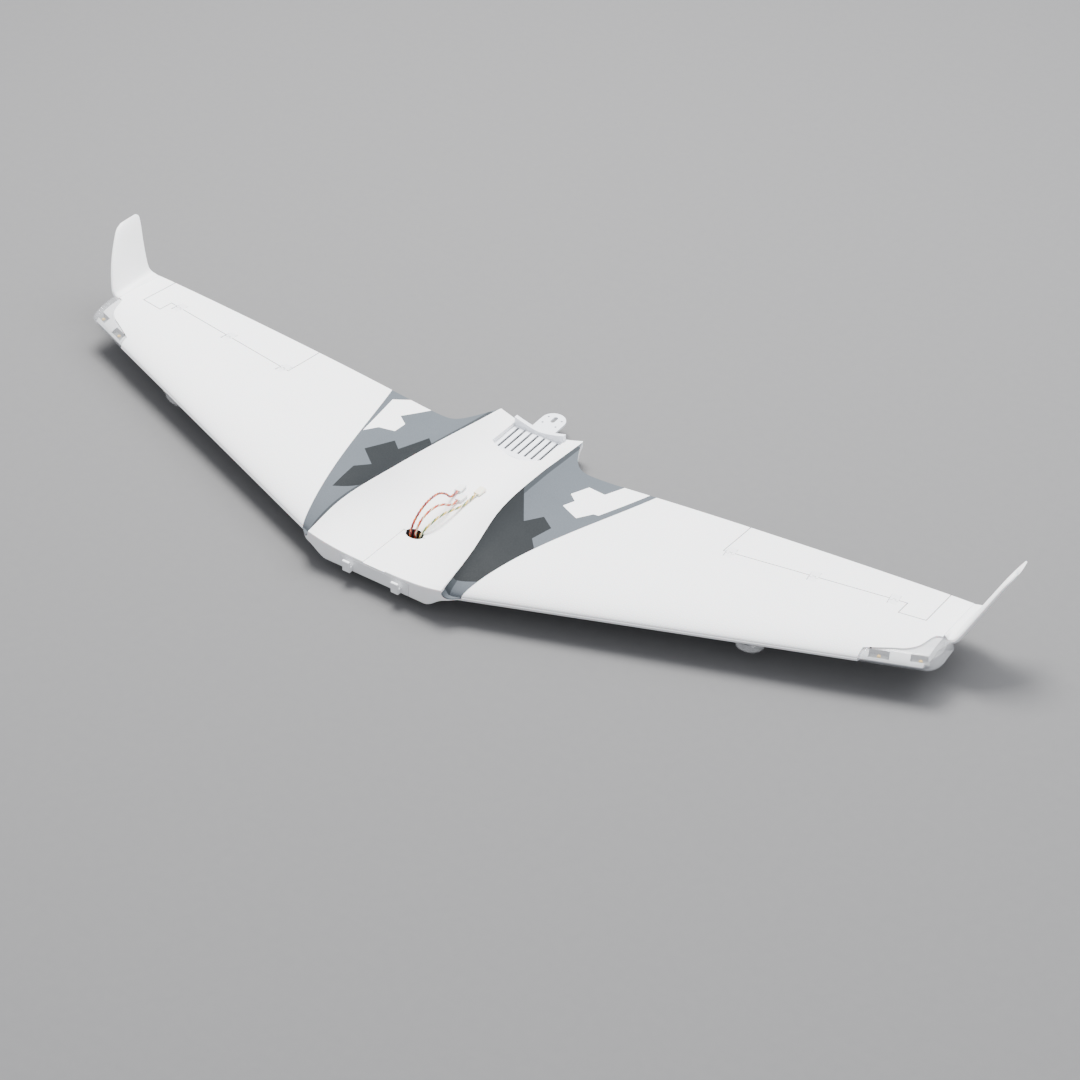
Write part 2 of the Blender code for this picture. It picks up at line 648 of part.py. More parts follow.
def make_servo(name, side):
    """A nine-gram servo on its side, with its shaft along the span, let into the lower skin."""
    world = mirrored(side) @ SERVO
    length, depth, high = SERVO_BODY
    top = -SERVO_TOP
    origin = world.translation
    case = place(box((top - length, -SHAFT_END, -high / 2), (top, depth - SHAFT_END, high / 2), world),
                 f"{name}_servo", "servo_plastic", origin)
    lug_top = top - 0.0045
    lug = box((lug_top - SERVO_LUG[0], -SHAFT_END - SERVO_LUG[1], -high / 2 + GAP),
              (lug_top, depth - SHAFT_END + SERVO_LUG[1], high / 2 - GAP), world)
    combine(case, lug, "UNION")
    combine(case, rod((top - 0.001, 0, 0), (top + GEAR_BOSS[1], 0, 0), GEAR_BOSS[0], 20, world), "UNION")
    combine(case, rod((top, 0, 0), (-GAP, 0, 0), SHAFT_R, 12, world), "UNION")


def make_arm(name, side):
    world = mirrored(side) @ SERVO
    arm = place(plate_link((0, 0), (0, -CRANK), *ARM_ENDS_R, 0, ARM_THICK, world),
                f"{name}_servo_arm", "white_plastic", world.translation)
    combine(arm, rod((-0.001, 0, -CRANK), (0.004, 0, -CRANK), ROD_R + RUNNING, 12, world), "DIFFERENCE")
    screw = place(rod((ARM_THICK + GAP, 0, 0), (ARM_THICK + 0.0013, 0, 0), 0.0019, 12, world),
                  f"{name}_arm_screw", "steel", world.translation)
    combine(screw, box((ARM_THICK + 0.0008, -0.0012, -0.00025), (0.004, 0.0012, 0.00025), world),
            "DIFFERENCE")
    combine(screw, box((ARM_THICK + 0.0008, -0.00025, -0.0012), (0.004, 0.00025, 0.0012), world),
            "DIFFERENCE")


def link_points():
    """Crank pins of the servo arm and of the horn, in the port wing."""
    return SERVO @ Vector((0, 0, -CRANK)), HINGE @ Vector((0, 0, -CRANK))


def make_pushrod(name, side):
    """Spring-steel wire with a bend through the arm, running parallel to the line of pins."""
    near, far = link_points()
    run = (far - near).normalized()
    outboard = ALONG * ROD_OFFSET
    points = [near - ALONG * 0.0022, near + outboard * 0.7, near + outboard + run * 0.0014,
              near + outboard + run * 0.0050, far + outboard + run * ROD_TAIL]
    curve = bpy.data.curves.new(f"{name}_pushrod", "CURVE")
    curve.dimensions = "3D"
    curve.bevel_depth = ROD_R
    curve.bevel_resolution = 2
    curve.use_fill_caps = True
    spline = curve.splines.new("POLY")
    spline.points.add(len(points) - 1)
    mirror = mirrored(side)
    origin = mirror @ near
    for slot, point in zip(spline.points, points):
        slot.co = (*(mirror @ point - origin), 1)
    wire = bpy.data.objects.new(f"{name}_pushrod", curve)
    wire.location = origin
    curve.materials.append(finish_material("steel"))
    PARTS.objects.link(wire)


def connector_frame(side):
    """At the horn's pin: x along the axis, y along the rod."""
    near, far = link_points()
    run = (far - near).normalized()
    up = ALONG.cross(run).normalized()
    run = up.cross(ALONG).normalized()
    frame = Matrix((ALONG, run, up)).transposed().to_4x4()
    frame.translation = far
    return mirrored(side) @ frame


def make_connector(name, side):
    """Turned barrel that swivels in the horn and clamps the rod with a set screw."""
    world = connector_frame(side)
    offset = ROD_OFFSET
    stem_end = -0.0010
    barrel = place(rod((HORN_THICK + GAP, 0, 0), (offset + 0.0021, 0, 0), BARREL_R, 16, world),
                   f"{name}_rod_connector", "brass", world.translation)
    combine(barrel, rod((stem_end, 0, 0), (HORN_THICK + 0.001, 0, 0), STEM_R, 12, world), "UNION")
    combine(barrel, rod((stem_end - 0.0008, 0, 0), (stem_end + 0.0004, 0, 0), 0.0018, 12, world), "UNION")
    combine(barrel, rod((offset, -0.005, 0), (offset, 0.005, 0), ROD_R + GAP, 12, world), "DIFFERENCE")
    combine(barrel, rod((offset, 0, 0), (offset, 0, -0.005), SCREW_R + GAP, 12, world), "DIFFERENCE")
    screw = place(rod((offset, 0, -ROD_R - GAP), (offset, 0, -0.0034), SCREW_R, 12, world),
                  f"{name}_set_screw", "steel", world.translation)
    combine(screw, box((offset - 0.002, -0.0002, -0.0040), (offset + 0.002, 0.0002, -0.0029), world),
            "DIFFERENCE")


def horn_tang(extra=0.0):
    """Box of the horn's tang in the tilted frame, grown by a clearance."""
    aft, up = HORN_BASE
    half, tall = HORN_TANG
    return ((-extra, aft - half - extra, up - 0.0005),
            (HORN_THICK + extra, aft + half + extra, up + tall + extra))


def make_horn(name, side):
    """Moulded horn: a tang let into the elevon, a cross bar against its skin and a forward arm."""
    world = mirrored(side) @ HINGE
    tilted = world @ HORN_TILT
    origin = world.translation
    horn = place(box(*horn_tang(), tilted), f"{name}_control_horn", "white_plastic", origin)
    aft, up = HORN_BASE
    wide, long, thick = HORN_BAR
    bar_low = up - 0.0034
    middle = HORN_THICK / 2
    bar = box((middle - wide, aft - long, bar_low), (middle + wide, aft + long, bar_low + thick), tilted)
    combine(horn, bar, "UNION")
    inset = 0.0001
    neck = box((inset, aft - HORN_TANG[0] + inset, bar_low + 0.0003),
               (HORN_THICK - inset, aft + HORN_TANG[0] - inset, up + 0.001), tilted)
    combine(horn, neck, "UNION")
    foot = HORN_TILT @ Vector((0, aft, bar_low + 0.0007))
    arm = plate_link((foot.y, foot.z), (0, -CRANK), *HORN_ENDS_R, 2 * inset, HORN_THICK - 2 * inset, world)
    combine(horn, arm, "UNION")
    combine(horn, rod((-0.002, 0, -CRANK), (0.004, 0, -CRANK), STEM_R + RUNNING, 12, world), "DIFFERENCE")


def cut_servo_bay(wing, side):
    world = mirrored(side) @ SERVO
    length, depth, high = SERVO_BODY
    inner, face = -SERVO_TOP - length - GAP, -SERVO_TOP + GAP
    front, rear = -SHAFT_END - SERVO_LUG[1] - GAP, depth - SHAFT_END + SERVO_LUG[1] + GAP
    slot_half, slot_end = ARM_SLOT
    outline = ((inner, front), (face, front), (face, -slot_half), (slot_end, -slot_half),
               (slot_end, slot_half), (face, slot_half), (face, rear), (inner, rear))
    combine(wing, prism(outline, 2, -0.03, high / 2 + GAP, world), "DIFFERENCE")


def make_cover(name, side):
    """Thin clear blister over the servo: round at the front, open at the rear, with side flanges."""
    wide, deep, high = COVER_SIZE
    across, steps = 8, 7
    bm = bmesh.new()
    rows = []
    for row in range(steps + 1):
        v = row / steps
        reach = math.sqrt(max(0.0, 1 - (1 - min(1.0, v / 0.5)) ** 2))
        half = wide / 2 * (0.28 + 0.72 * reach)
        drop = high * (0.10 + 0.90 * reach ** 0.8) - COVER_WALL
        outline = [(-half - COVER_FLANGE, 0)]
        for k in range(across + 1):
            angle = math.pi * k / across
            swell = max(0.0, math.sin(angle)) ** 0.55
            outline.append((-half * math.cos(angle), drop * swell))
        outline.append((half + COVER_FLANGE, 0))
        if row == 0:
            outline = [(a, 0) for a, _ in outline]
        points = []
        for a, b in outline:
            spot = SERVO @ Vector((a - COVER_SHIFT, deep * v - COVER_AHEAD, 0))
            spot.z = wing_skin(spot.x, spot.y, -1) - COVER_STANDOFF - b
            points.append(bm.verts.new(mirrored(side) @ spot))
        rows.append(points)
    for row, following in zip(rows, rows[1:]):
        for k in range(len(row) - 1):
            bm.faces.new((row[k], row[k + 1], following[k + 1], following[k]))
    cover = place(bm, f"{name}_servo_cover", "clear", mirrored(side) @ SERVO.translation)
    downward = sum(face.normal.z for face in cover.data.polygons) < 0
    wall = cover.modifiers.new("wall", "SOLIDIFY")
    wall.thickness = COVER_WALL
    wall.offset = 1 if downward else -1


# ---------------------------------------------------------------- tip lens and lights
def lens_front(x):
    """Leading edge of the tip, rounded in plan at its outer corner."""
    start, end = TIP_X, LENS_X[1]
    if x <= start:
        return le_y(x)
    t = (x - start) / (end - start)
    return le_y(start) + LE_SWEEP * (x - start) + 0.0140 * (1 - math.sqrt(max(0.0, 1 - t ** 2.4)))


def tip_fade(x):
    start, end = TIP_X, LENS_X[1]
    if x <= start:
        return 1.0
    return math.sqrt(max(0.02, 1 - ((x - start) / (end - start)) ** 2.2))


def lens_rear(x):
    return smooth_curve(LENS_EDGE, x)


def tip_point(x, y, sign, inset):
    """Point of the tip's skin, drawn in by an inset."""
    flat = min(x, TIP_X + 0.004)
    start = lens_front(x)
    near = max(0.0, y - start) / 0.010
    blunt = 1 - math.exp(-2.2 * near)
    base = le_y(flat) + max(0.0, y - start)
    half = wing_half(flat, base) * tip_fade(x)
    half = max(0.0005, half - inset * (1.8 - 0.75 * blunt))
    return Vector((x, y, wing_middle(flat, base) + sign * half))


def tip_rings(inset, x_low, x_high, rear_shift, count, across=5):
    """C-shaped rows from the upper rear edge round the nose to the lower rear edge."""
    rows = []
    for k in range(count + 1):
        x = x_low + (x_high - x_low) * (k / count) ** 0.8
        start = lens_front(x) + inset
        end = lens_rear(x) + rear_shift
        shares = [(j / across) ** 1.8 for j in range(across + 1)]
        upper = [tip_point(x, start + (end - start) * s, 1, inset) for s in shares]
        lower = [tip_point(x, start + (end - start) * s, -1, inset) for s in shares]
        nose = Vector((x, start - 0.0007, (upper[0].z + lower[0].z) / 2))
        rows.append(upper[::-1] + [nose] + lower)
    return rows


def make_lens(name, side):
    """Clear cap round the tip's leading edge: an open skin given a wall inwards."""
    rows = tip_rings(0.0, LENS_X[0], LENS_X[1], -LENS_EDGE_GAP, 9)
    bm = bmesh.new()
    grid = [[bm.verts.new(mirrored(side) @ point) for point in row] for row in rows]
    for row, following in zip(grid, grid[1:]):
        for k in range(len(row) - 1):
            bm.faces.new((row[k], row[k + 1], following[k + 1], following[k]))
    last = grid[-1]
    count = len(last)
    for k in range(count // 2 - 1):
        bm.faces.new((last[k], last[k + 1], last[count - 2 - k], last[count - 1 - k]))
    middle = count // 2
    bm.faces.new((last[middle - 1], last[middle], last[middle + 1]))
    lens = place(bm, f"{name}_tip_lens", "clear")
    centre = Vector((side * 0.54, 0.0, 0.042))
    outward = sum((face.center - centre).dot(face.normal) for face in lens.data.polygons) > 0
    wall = lens.modifiers.new("wall", "SOLIDIFY")
    wall.thickness = LENS_WALL
    wall.offset = -1 if outward else 1


def lens_plan():
    low, high = LENS_EDGE[0][0], LENS_EDGE[-1][0]
    outline = [(low + (high - low) * k / 16, lens_rear(low + (high - low) * k / 16)) for k in range(17)]
    return outline + [(high + 0.02, outline[-1][1]), (high + 0.02, -0.12), (low, -0.12)]


def light_frame(place_xy, side):
    x, y = place_xy
    turn = Matrix.Rotation(math.atan(LE_SWEEP), 4, "Z")
    return mirrored(side) @ Matrix.Translation((x, y, wing_middle(x, y) - 0.0012)) @ turn


def fit_lens_seat(wing, side):
    """The foam steps in under the lens and keeps a pocket for each light."""
    plan = prism(lens_plan(), 2, 0.0, 0.09)
    bmesh.ops.transform(plan, verts=plan.verts, matrix=mirrored(side))
    combine(wing, plan, "DIFFERENCE")
    rows = tip_rings(LENS_WALL + LENS_AIR, LENS_X[0] - 0.0012, LENS_X[1] - 0.0090, 0.0010, 7)
    core = loft(rows)
    bmesh.ops.transform(core, verts=core.verts, matrix=mirrored(side))
    combine(wing, core, "UNION")
    long, wide, thick = BOARD_SIZE
    for spot in LIGHT_PLACES:
        pocket = box((-long / 2 - 0.002, -wide / 2 - 0.001, -thick / 2 - GAP),
                     (long / 2 + 0.002, wide / 2 + 0.002, 0.02), light_frame(spot, side))
        combine(wing, pocket, "DIFFERENCE")


def make_lights(name, side):
    long, wide, thick = BOARD_SIZE
    for label, spot in zip(("inner", "outer"), LIGHT_PLACES):
        world = light_frame(spot, side)
        place(box((-long / 2, -wide / 2, -thick / 2), (long / 2, wide / 2, thick / 2), world),
              f"{name}_{label}_light_board", "board", world.translation)
        place(rod((0, 0, thick / 2 + GAP), (0, 0, thick / 2 + 0.0018), 0.0024, 16, world, 0.0016),
              f"{name}_{label}_light", "lamp", world.translation)


# ---------------------------------------------------------------- wing panel and winglet
def make_wing(name, side):
    wing = place(wing_solid(side), f"{name}_wing", "foam")
    inner, outer = spar_ends(side)
    reach = (outer - inner).normalized()
    combine(wing, rod(inner, outer + reach * GAP, SPAR_R + GAP), "DIFFERENCE")
    cut_elevon_bay(wing, side)
    cut_servo_bay(wing, side)
    fit_lens_seat(wing, side)


def make_winglet(name, side):
    """Upswept tip fin lofted from the wing's tip section."""
    rings = []
    tip_z = TE_Z + TE_RISE * (TIP_X - ROOT_LE[0])
    for outboard, above, ahead, behind, thick, lean in WINGLET_RINGS:
        x, z = TIP_X + outboard, tip_z + above
        front, rear = TIP_LE + ahead, te_y(TIP_X) + behind
        ring = []
        tilt = math.radians(lean)
        count = 8
        for sign in (1, -1):
            steps = range(count, 0, -1) if sign == 1 else range(count + 1)
            for k in steps:
                share = (k / count) ** 1.5
                if lean == 0:
                    y = front + (rear - front) * share
                    spot = Vector((x, y, wing_skin(TIP_X, y, sign)))
                else:
                    half = sign * (thick * (section_half(share) + 0.12) + 0.0003)
                    if k == 0:
                        half = 0
                    spot = Vector((x - half * math.sin(tilt), front + (rear - front) * share,
                                   z + half * math.cos(tilt)))
                ring.append(mirrored(side) @ spot)
        rings.append(ring)
    place(loft(rings), f"{name}_winglet", "foam")


# ---------------------------------------------------------------- nose strip and vent frame
def make_latch_strip():
    """Moulded strip across the nose with two upturned hooks for the hatch."""
    back = NOSE_Y + STRIP_THICK
    strip = place(box((-STRIP_HALF, NOSE_Y - 0.0004, STRIP_Z[0]), (STRIP_HALF, back, STRIP_Z[1])),
                  "front_latch_strip", "white_plastic")
    reach = NOSE_Y - HOOK_REACH
    hook = ((back - 0.001, 0.0152), (reach + 0.001, 0.0152), (reach, 0.0165), (reach, 0.0290),
            (reach + 0.0008, 0.0296), (reach + 0.0026, 0.0296), (reach + 0.0032, 0.0215),
            (back - 0.001, 0.0215))
    for side in (-1, 1):
        centre = side * HOOK_X
        combine(strip, prism(hook, 0, centre - HOOK_WIDTH / 2, centre + HOOK_WIDTH / 2), "UNION")


def vent_outline(grow=0.0):
    """Plan of the vent plate: a shallow arc at the front and straight sides to the rear."""
    half, sag = VENT_HALF + grow, 0.0070
    points = []
    for k in range(9):
        share = -1 + 2 * k / 8
        points.append((half * share, VENT_FRONT - grow + sag * share ** 2))
    return points + [(half, RIM_Y[1] + grow + (0.01 if grow else 0)),
                     (-half, RIM_Y[1] + grow + (0.01 if grow else 0))]


def make_vent_frame():
    """Slotted plate with a raised rear rim and a flat tongue behind it."""
    low = VENT_TOP - VENT_THICK
    frame = place(prism(vent_outline(), 2, low, VENT_TOP), "rear_vent_frame", "grey_plastic")
    half = VENT_HALF
    rim = [(-half, VENT_TOP - 0.001), (half, VENT_TOP - 0.001)]
    for k in range(9):
        share = 1 - 2 * k / 8
        rim.append((half * share, RIM_TOP[0] + (RIM_TOP[1] - RIM_TOP[0]) * abs(share) ** 1.4))
    combine(frame, prism(rim, 1, RIM_Y[0], RIM_Y[1]), "UNION")
    tip = (0, TONGUE_END - TONGUE_HALF)
    tongue = [(TONGUE_HALF, RIM_Y[0] + 0.001)] + arc(tip, TONGUE_HALF, 0, 180, 12)
    tongue += [(-TONGUE_HALF, RIM_Y[0] + 0.001)]
    combine(frame, prism(tongue, 2, TONGUE_TOP - TONGUE_THICK, TONGUE_TOP), "UNION")
    oblong = arc((0, tip[1] + 0.0055), 0.0026, 0, 180, 6) + arc((0, tip[1] - 0.0015), 0.0026, 180, 360, 6)
    combine(frame, prism(oblong, 2, 0.01, 0.03), "DIFFERENCE")
    for x, y in ((-0.009, -0.009), (0.009, -0.009), (-0.009, 0.004), (0.009, 0.004)):
        combine(frame, rod((x, tip[1] + y, 0.01), (x, tip[1] + y, 0.03), 0.0013, 10), "DIFFERENCE")
    for k in range(SLOT_COUNT):
        x = (k - (SLOT_COUNT - 1) / 2) * SLOT_PITCH
        combine(frame, box((x - SLOT_HALF, SLOT_Y[0], 0.01), (x + SLOT_HALF, SLOT_Y[1], 0.03)),
                "DIFFERENCE")


# ---------------------------------------------------------------- leads
def smooth_route(points, spacing):
    """Even points along a Catmull-Rom curve through the route."""
    points = [Vector(point) for point in points]
    dense = []
    for k in range(len(points) - 1):
        before = points[max(0, k - 1)]
        a, b = points[k], points[k + 1]
        after = points[min(len(points) - 1, k + 2)]
        for step in range(20):
            t = step / 20
            dense.append(0.5 * (2 * a + (b - before) * t + (2 * before - 5 * a + 4 * b - after) * t ** 2
                                + (3 * a - before - 3 * b + after) * t ** 3))
    dense.append(points[-1])
    even, walked = [dense[0]], 0.0
    for first, second in zip(dense, dense[1:]):
        walked += (second - first).length
        if walked >= spacing:
            even.append(second)
            walked = 0.0
    even[-1] = dense[-1]
    return even


def make_lead(name, route):
    curve = bpy.data.curves.new(name, "CURVE")
    curve.dimensions = "3D"
    curve.bevel_depth = LEAD_R
    curve.bevel_resolution = 2
    curve.use_fill_caps = True
    points = smooth_route(route, 2.4 * 2 * LEAD_R)
    spline = curve.splines.new("POLY")
    spline.points.add(len(points) - 1)
    for slot, point in zip(spline.points, points):
        slot.co = (*point, 1)
    curve.materials.append(finish_material("lead"))
    wire = bpy.data.objects.new(name, curve)
    PARTS.objects.link(wire)

    end = points[-1]
    heading = (points[-1] - points[-2]).normalized()
    turn = heading.to_track_quat("Y", "Z").to_matrix().to_4x4()
    world = Matrix.Translation(end + heading * GAP) @ turn
    wide, long, thick = PLUG_SIZE
    plug = place(box((-wide / 2, 0, -thick / 2), (wide / 2, long, thick / 2), world),
                 name.replace("lead", "plug"), "plug", end)
    for k in (-1, 0, 1):
        x, half = k * PLUG_PITCH, PLUG_HOLE / 2
        hole = box((x - half, long - 0.004, -half), (x + half, long + 0.001, half), world)
        combine(plug, hole, "DIFFERENCE")


# ---------------------------------------------------------------- assembly
make_centre_body()
make_latch_strip()
make_vent_frame()
for side_name, side_sign in (("port", 1), ("starboard", -1)):
    make_wing(side_name, side_sign)
    make_winglet(side_name, side_sign)
    make_spar(side_name, side_sign)
    make_elevon(side_name, side_sign)
    for hinge_number in range(len(HINGE_X)):
        make_hinge(side_name, hinge_number, side_sign)
    make_servo(side_name, side_sign)
    make_arm(side_name, side_sign)
    make_pushrod(side_name, side_sign)
    make_connector(side_name, side_sign)
    make_horn(side_name, side_sign)
    make_cover(side_name, side_sign)
    make_lens(side_name, side_sign)
    make_lights(side_name, side_sign)
for lead_name, lead_route in LEADS.items():
    make_lead(lead_name, lead_route)
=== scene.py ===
import math

import bmesh
import bpy
from mathutils import Matrix, Vector


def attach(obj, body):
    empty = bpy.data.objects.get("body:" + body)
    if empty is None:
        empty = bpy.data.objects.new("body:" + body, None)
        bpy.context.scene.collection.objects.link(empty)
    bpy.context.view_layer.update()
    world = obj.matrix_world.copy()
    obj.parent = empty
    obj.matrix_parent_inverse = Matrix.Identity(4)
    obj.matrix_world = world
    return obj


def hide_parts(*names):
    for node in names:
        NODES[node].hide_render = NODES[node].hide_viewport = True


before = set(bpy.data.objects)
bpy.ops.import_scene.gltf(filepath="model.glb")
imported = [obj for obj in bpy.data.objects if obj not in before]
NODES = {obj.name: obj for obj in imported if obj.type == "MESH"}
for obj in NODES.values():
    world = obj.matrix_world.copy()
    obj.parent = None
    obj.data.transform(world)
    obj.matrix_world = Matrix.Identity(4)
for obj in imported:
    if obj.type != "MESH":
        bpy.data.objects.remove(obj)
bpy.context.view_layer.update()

# ---------------------------------------------------------------- camera
# A long lens high ahead of the port wing, a little off the axis of the picture.
AZIMUTH, ELEVATION, ROLL = math.radians(35.036), math.radians(36.672), math.radians(-0.233)
CAMERA_TARGET = Vector((0.0, 0.0500, 0.0334))
CAMERA_DISTANCE, FOCAL_LENGTH, CAMERA_SHIFT = 2.764, 81.73, (0.0415, -0.0725)

back = Vector((math.sin(AZIMUTH) * math.cos(ELEVATION), -math.cos(AZIMUTH) * math.cos(ELEVATION),
               math.sin(ELEVATION)))
level = Vector((math.cos(AZIMUTH), math.sin(AZIMUTH), 0))
upward = back.cross(level)
right = level * math.cos(ROLL) + upward * math.sin(ROLL)
lens_data = bpy.data.cameras.new("camera")
lens_data.lens, lens_data.sensor_width = FOCAL_LENGTH, 36.0
lens_data.shift_x, lens_data.shift_y = CAMERA_SHIFT
camera = bpy.data.objects.new("camera", lens_data)
bpy.context.scene.collection.objects.link(camera)
turn = Matrix((right, back.cross(right), back)).transposed().to_4x4()
camera.matrix_world = Matrix.Translation(CAMERA_TARGET + back * CAMERA_DISTANCE) @ turn
bpy.context.scene.camera = camera


# ---------------------------------------------------------------- shared ways of making
# Grids whose corners a formula places, then closed, carved and set on a body; every piece keeps its
# place in its mesh, so each object stays at the origin.
def shaped_grid(columns, rows, point):
    bm = bmesh.new()
    bmesh.ops.create_grid(bm, x_segments=columns, y_segments=rows, size=0.5)
    for vert in bm.verts:
        vert.co = point(vert.co.x + 0.5, vert.co.y + 0.5)
    bmesh.ops.remove_doubles(bm, verts=bm.verts, dist=2e-6)
    return bm


def close_ends(bm):
    bmesh.ops.holes_fill(bm, edges=[edge for edge in bm.edges if edge.is_boundary], sides=0)
    return bm


def as_object(name, bm, side=1):
    """Mesh object with its normals outward, mirrored to starboard where side is -1."""
    bmesh.ops.scale(bm, verts=bm.verts, vec=(side, 1, 1))
    bmesh.ops.recalc_face_normals(bm, faces=bm.faces)
    mesh = bpy.data.meshes.new(name)
    bm.to_mesh(mesh)
    bm.free()
    piece = bpy.data.objects.new(name, mesh)
    bpy.context.scene.collection.objects.link(piece)
    return piece


def set_on(piece, body, node, *materials, crease=32):
    """Finish a piece: smooth shading, materials, the body it rides on and the CAD node it stands for."""
    for material in materials:
        piece.data.materials.append(material)
    piece.data.shade_smooth()
    piece.data.set_sharp_from_angle(angle=math.radians(crease))
    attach(piece, body)
    if node:
        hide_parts(node)


def carve(piece, bm, side=1, operation="DIFFERENCE"):
    tool = as_object(f"{piece.name}_tool_{len(piece.modifiers)}", bm, side)
    step = piece.modifiers.new(tool.name, "BOOLEAN")
    step.operation, step.solver, step.object = operation, "EXACT", tool


def settle(piece):
    """Apply a piece's Booleans and drop their tools."""
    bpy.context.view_layer.update()
    done = bpy.data.meshes.new_from_object(piece.evaluated_get(bpy.context.evaluated_depsgraph_get()))
    tools = [step.object for step in piece.modifiers]
    piece.modifiers.clear()
    piece.data = done
    done.name = piece.name
    for tool in tools:
        bpy.data.objects.remove(tool, do_unlink=True)


def box(low, high, world=Matrix()):
    bm = bmesh.new()
    bmesh.ops.create_cube(bm, size=1)
    low, high = Vector(low), Vector(high)
    bmesh.ops.scale(bm, verts=bm.verts, vec=high - low)
    bmesh.ops.translate(bm, verts=bm.verts, vec=(low + high) / 2)
    bmesh.ops.transform(bm, verts=bm.verts, matrix=world)
    return bm


def prism(corners, push):
    """Solid pushed from a flat outline along a vector."""
    bm = bmesh.new()
    face = bm.faces.new([bm.verts.new(corner) for corner in corners])
    pushed = bmesh.ops.extrude_face_region(bm, geom=[face])["geom"]
    moved = [part for part in pushed if isinstance(part, bmesh.types.BMVert)]
    bmesh.ops.translate(bm, verts=moved, vec=push)
    return bm


def curve_at(table, at, column=1):
    """Catmull-Rom value of a column of a table whose first column rises."""
    if at <= table[0][0]:
        return table[0][column]
    if at >= table[-1][0]:
        return table[-1][column]
    k = max(i for i in range(len(table) - 1) if table[i][0] <= at)
    x0, x1 = table[k][0], table[k + 1][0]
    y0, y1 = table[k][column], table[k + 1][column]
    slope = (y1 - y0) / (x1 - x0)
    before = (y0 - table[k - 1][column]) / (x0 - table[k - 1][0]) if k > 0 else slope
    after = (table[k + 2][column] - y1) / (table[k + 2][0] - x1) if k + 2 < len(table) else slope
    m0, m1, t, h = (slope + before) / 2, (slope + after) / 2, (at - x0) / (x1 - x0), x1 - x0
    return ((2 * t ** 3 - 3 * t ** 2 + 1) * y0 + (t ** 3 - 2 * t ** 2 + t) * h * m0
            + (3 * t ** 2 - 2 * t ** 3) * y1 + (t ** 3 - t ** 2) * h * m1)


# ---------------------------------------------------------------- shared surface effects
# Node groups that give a shade between 0 and 1 and a height for the bump, all from object space.
def effect_group(name):
    group = bpy.data.node_groups.new(name, "ShaderNodeTree")
    for socket in ("Shade", "Height"):
        group.interface.new_socket(name=socket, in_out="OUTPUT", socket_type="NodeSocketFloat")
    nodes = group.nodes
    place = nodes.new("ShaderNodeTexCoord").outputs["Object"]
    return group, nodes, group.links, place, nodes.new("NodeGroupOutput")


def noise(nodes, links, place, scale, detail=3.0, roughness=0.5, stretch=None):
    if stretch:
        mapping = nodes.new("ShaderNodeMapping")
        mapping.inputs["Scale"].default_value = stretch
        links.new(place, mapping.inputs["Vector"])
        place = mapping.outputs["Vector"]
    texture = nodes.new("ShaderNodeTexNoise")
    texture.inputs["Scale"].default_value = scale
    texture.inputs["Detail"].default_value = detail
    texture.inputs["Roughness"].default_value = roughness
    links.new(place, texture.inputs["Vector"])
    return texture.outputs["Fac"]


def reckon(nodes, links, operation, first, second):
    node = nodes.new("ShaderNodeMath")
    node.operation = operation
    for socket, value in zip(node.inputs, (first, second)):
        if isinstance(value, (int, float)):
            socket.default_value = value
        else:
            links.new(value, socket)
    return node.outputs[0]


def bead_effect(name, bead_scale, bead_share):
    """Fused foam beads: rounded cells with thin seams, fine grain and broad mottling."""
    group, nodes, links, place, out = effect_group(name)
    cells = nodes.new("ShaderNodeTexVoronoi")
    cells.feature = "DISTANCE_TO_EDGE"
    cells.inputs["Scale"].default_value = bead_scale
    links.new(place, cells.inputs["Vector"])
    seam = nodes.new("ShaderNodeMapRange")
    seam.interpolation_type = "SMOOTHSTEP"
    seam.inputs["From Max"].default_value = 0.22
    links.new(cells.outputs["Distance"], seam.inputs["Value"])
    grain = noise(nodes, links, place, 1500.0, 2.0)
    broad = noise(nodes, links, place, 22.0, 4.0, 0.6)
    beads = reckon(nodes, links, "MULTIPLY", seam.outputs["Result"], bead_share)
    height = reckon(nodes, links, "ADD", beads, reckon(nodes, links, "MULTIPLY", grain, 0.35))
    in_seam = reckon(nodes, links, "SUBTRACT", 1.0, seam.outputs["Result"])
    dark = reckon(nodes, links, "MULTIPLY", in_seam, 0.35)
    shade = reckon(nodes, links, "ADD", dark, reckon(nodes, links, "MULTIPLY", broad, 0.65))
    links.new(shade, out.inputs["Shade"])
    links.new(height, out.inputs["Height"])
    return group


def grain_effect(name, fine_scale, broad_scale, stretch=None):
    """Even grain, drawn out along one direction where stretch is given, with broad mottling."""
    group, nodes, links, place, out = effect_group(name)
    fine = noise(nodes, links, place, fine_scale, 3.0, 0.6, stretch)
    broad = noise(nodes, links, place, broad_scale, 3.0)
    links.new(reckon(nodes, links, "ADD", reckon(nodes, links, "MULTIPLY", fine, 0.3),
                     reckon(nodes, links, "MULTIPLY", broad, 0.7)), out.inputs["Shade"])
    links.new(fine, out.inputs["Height"])
    return group


BEADS = bead_effect("foam_beads", 400.0, 0.8)
PAINTED_BEADS = bead_effect("painted_beads", 400.0, 0.6)
MOULDED = grain_effect("moulded_grain", 2600.0, 90.0)
DRAWN = grain_effect("drawn_grain", 4000.0, 200.0, (1.0, 0.06, 1.0))
WEAVE = grain_effect("tube_wrap", 2200.0, 160.0, (0.1, 1.0, 1.0))


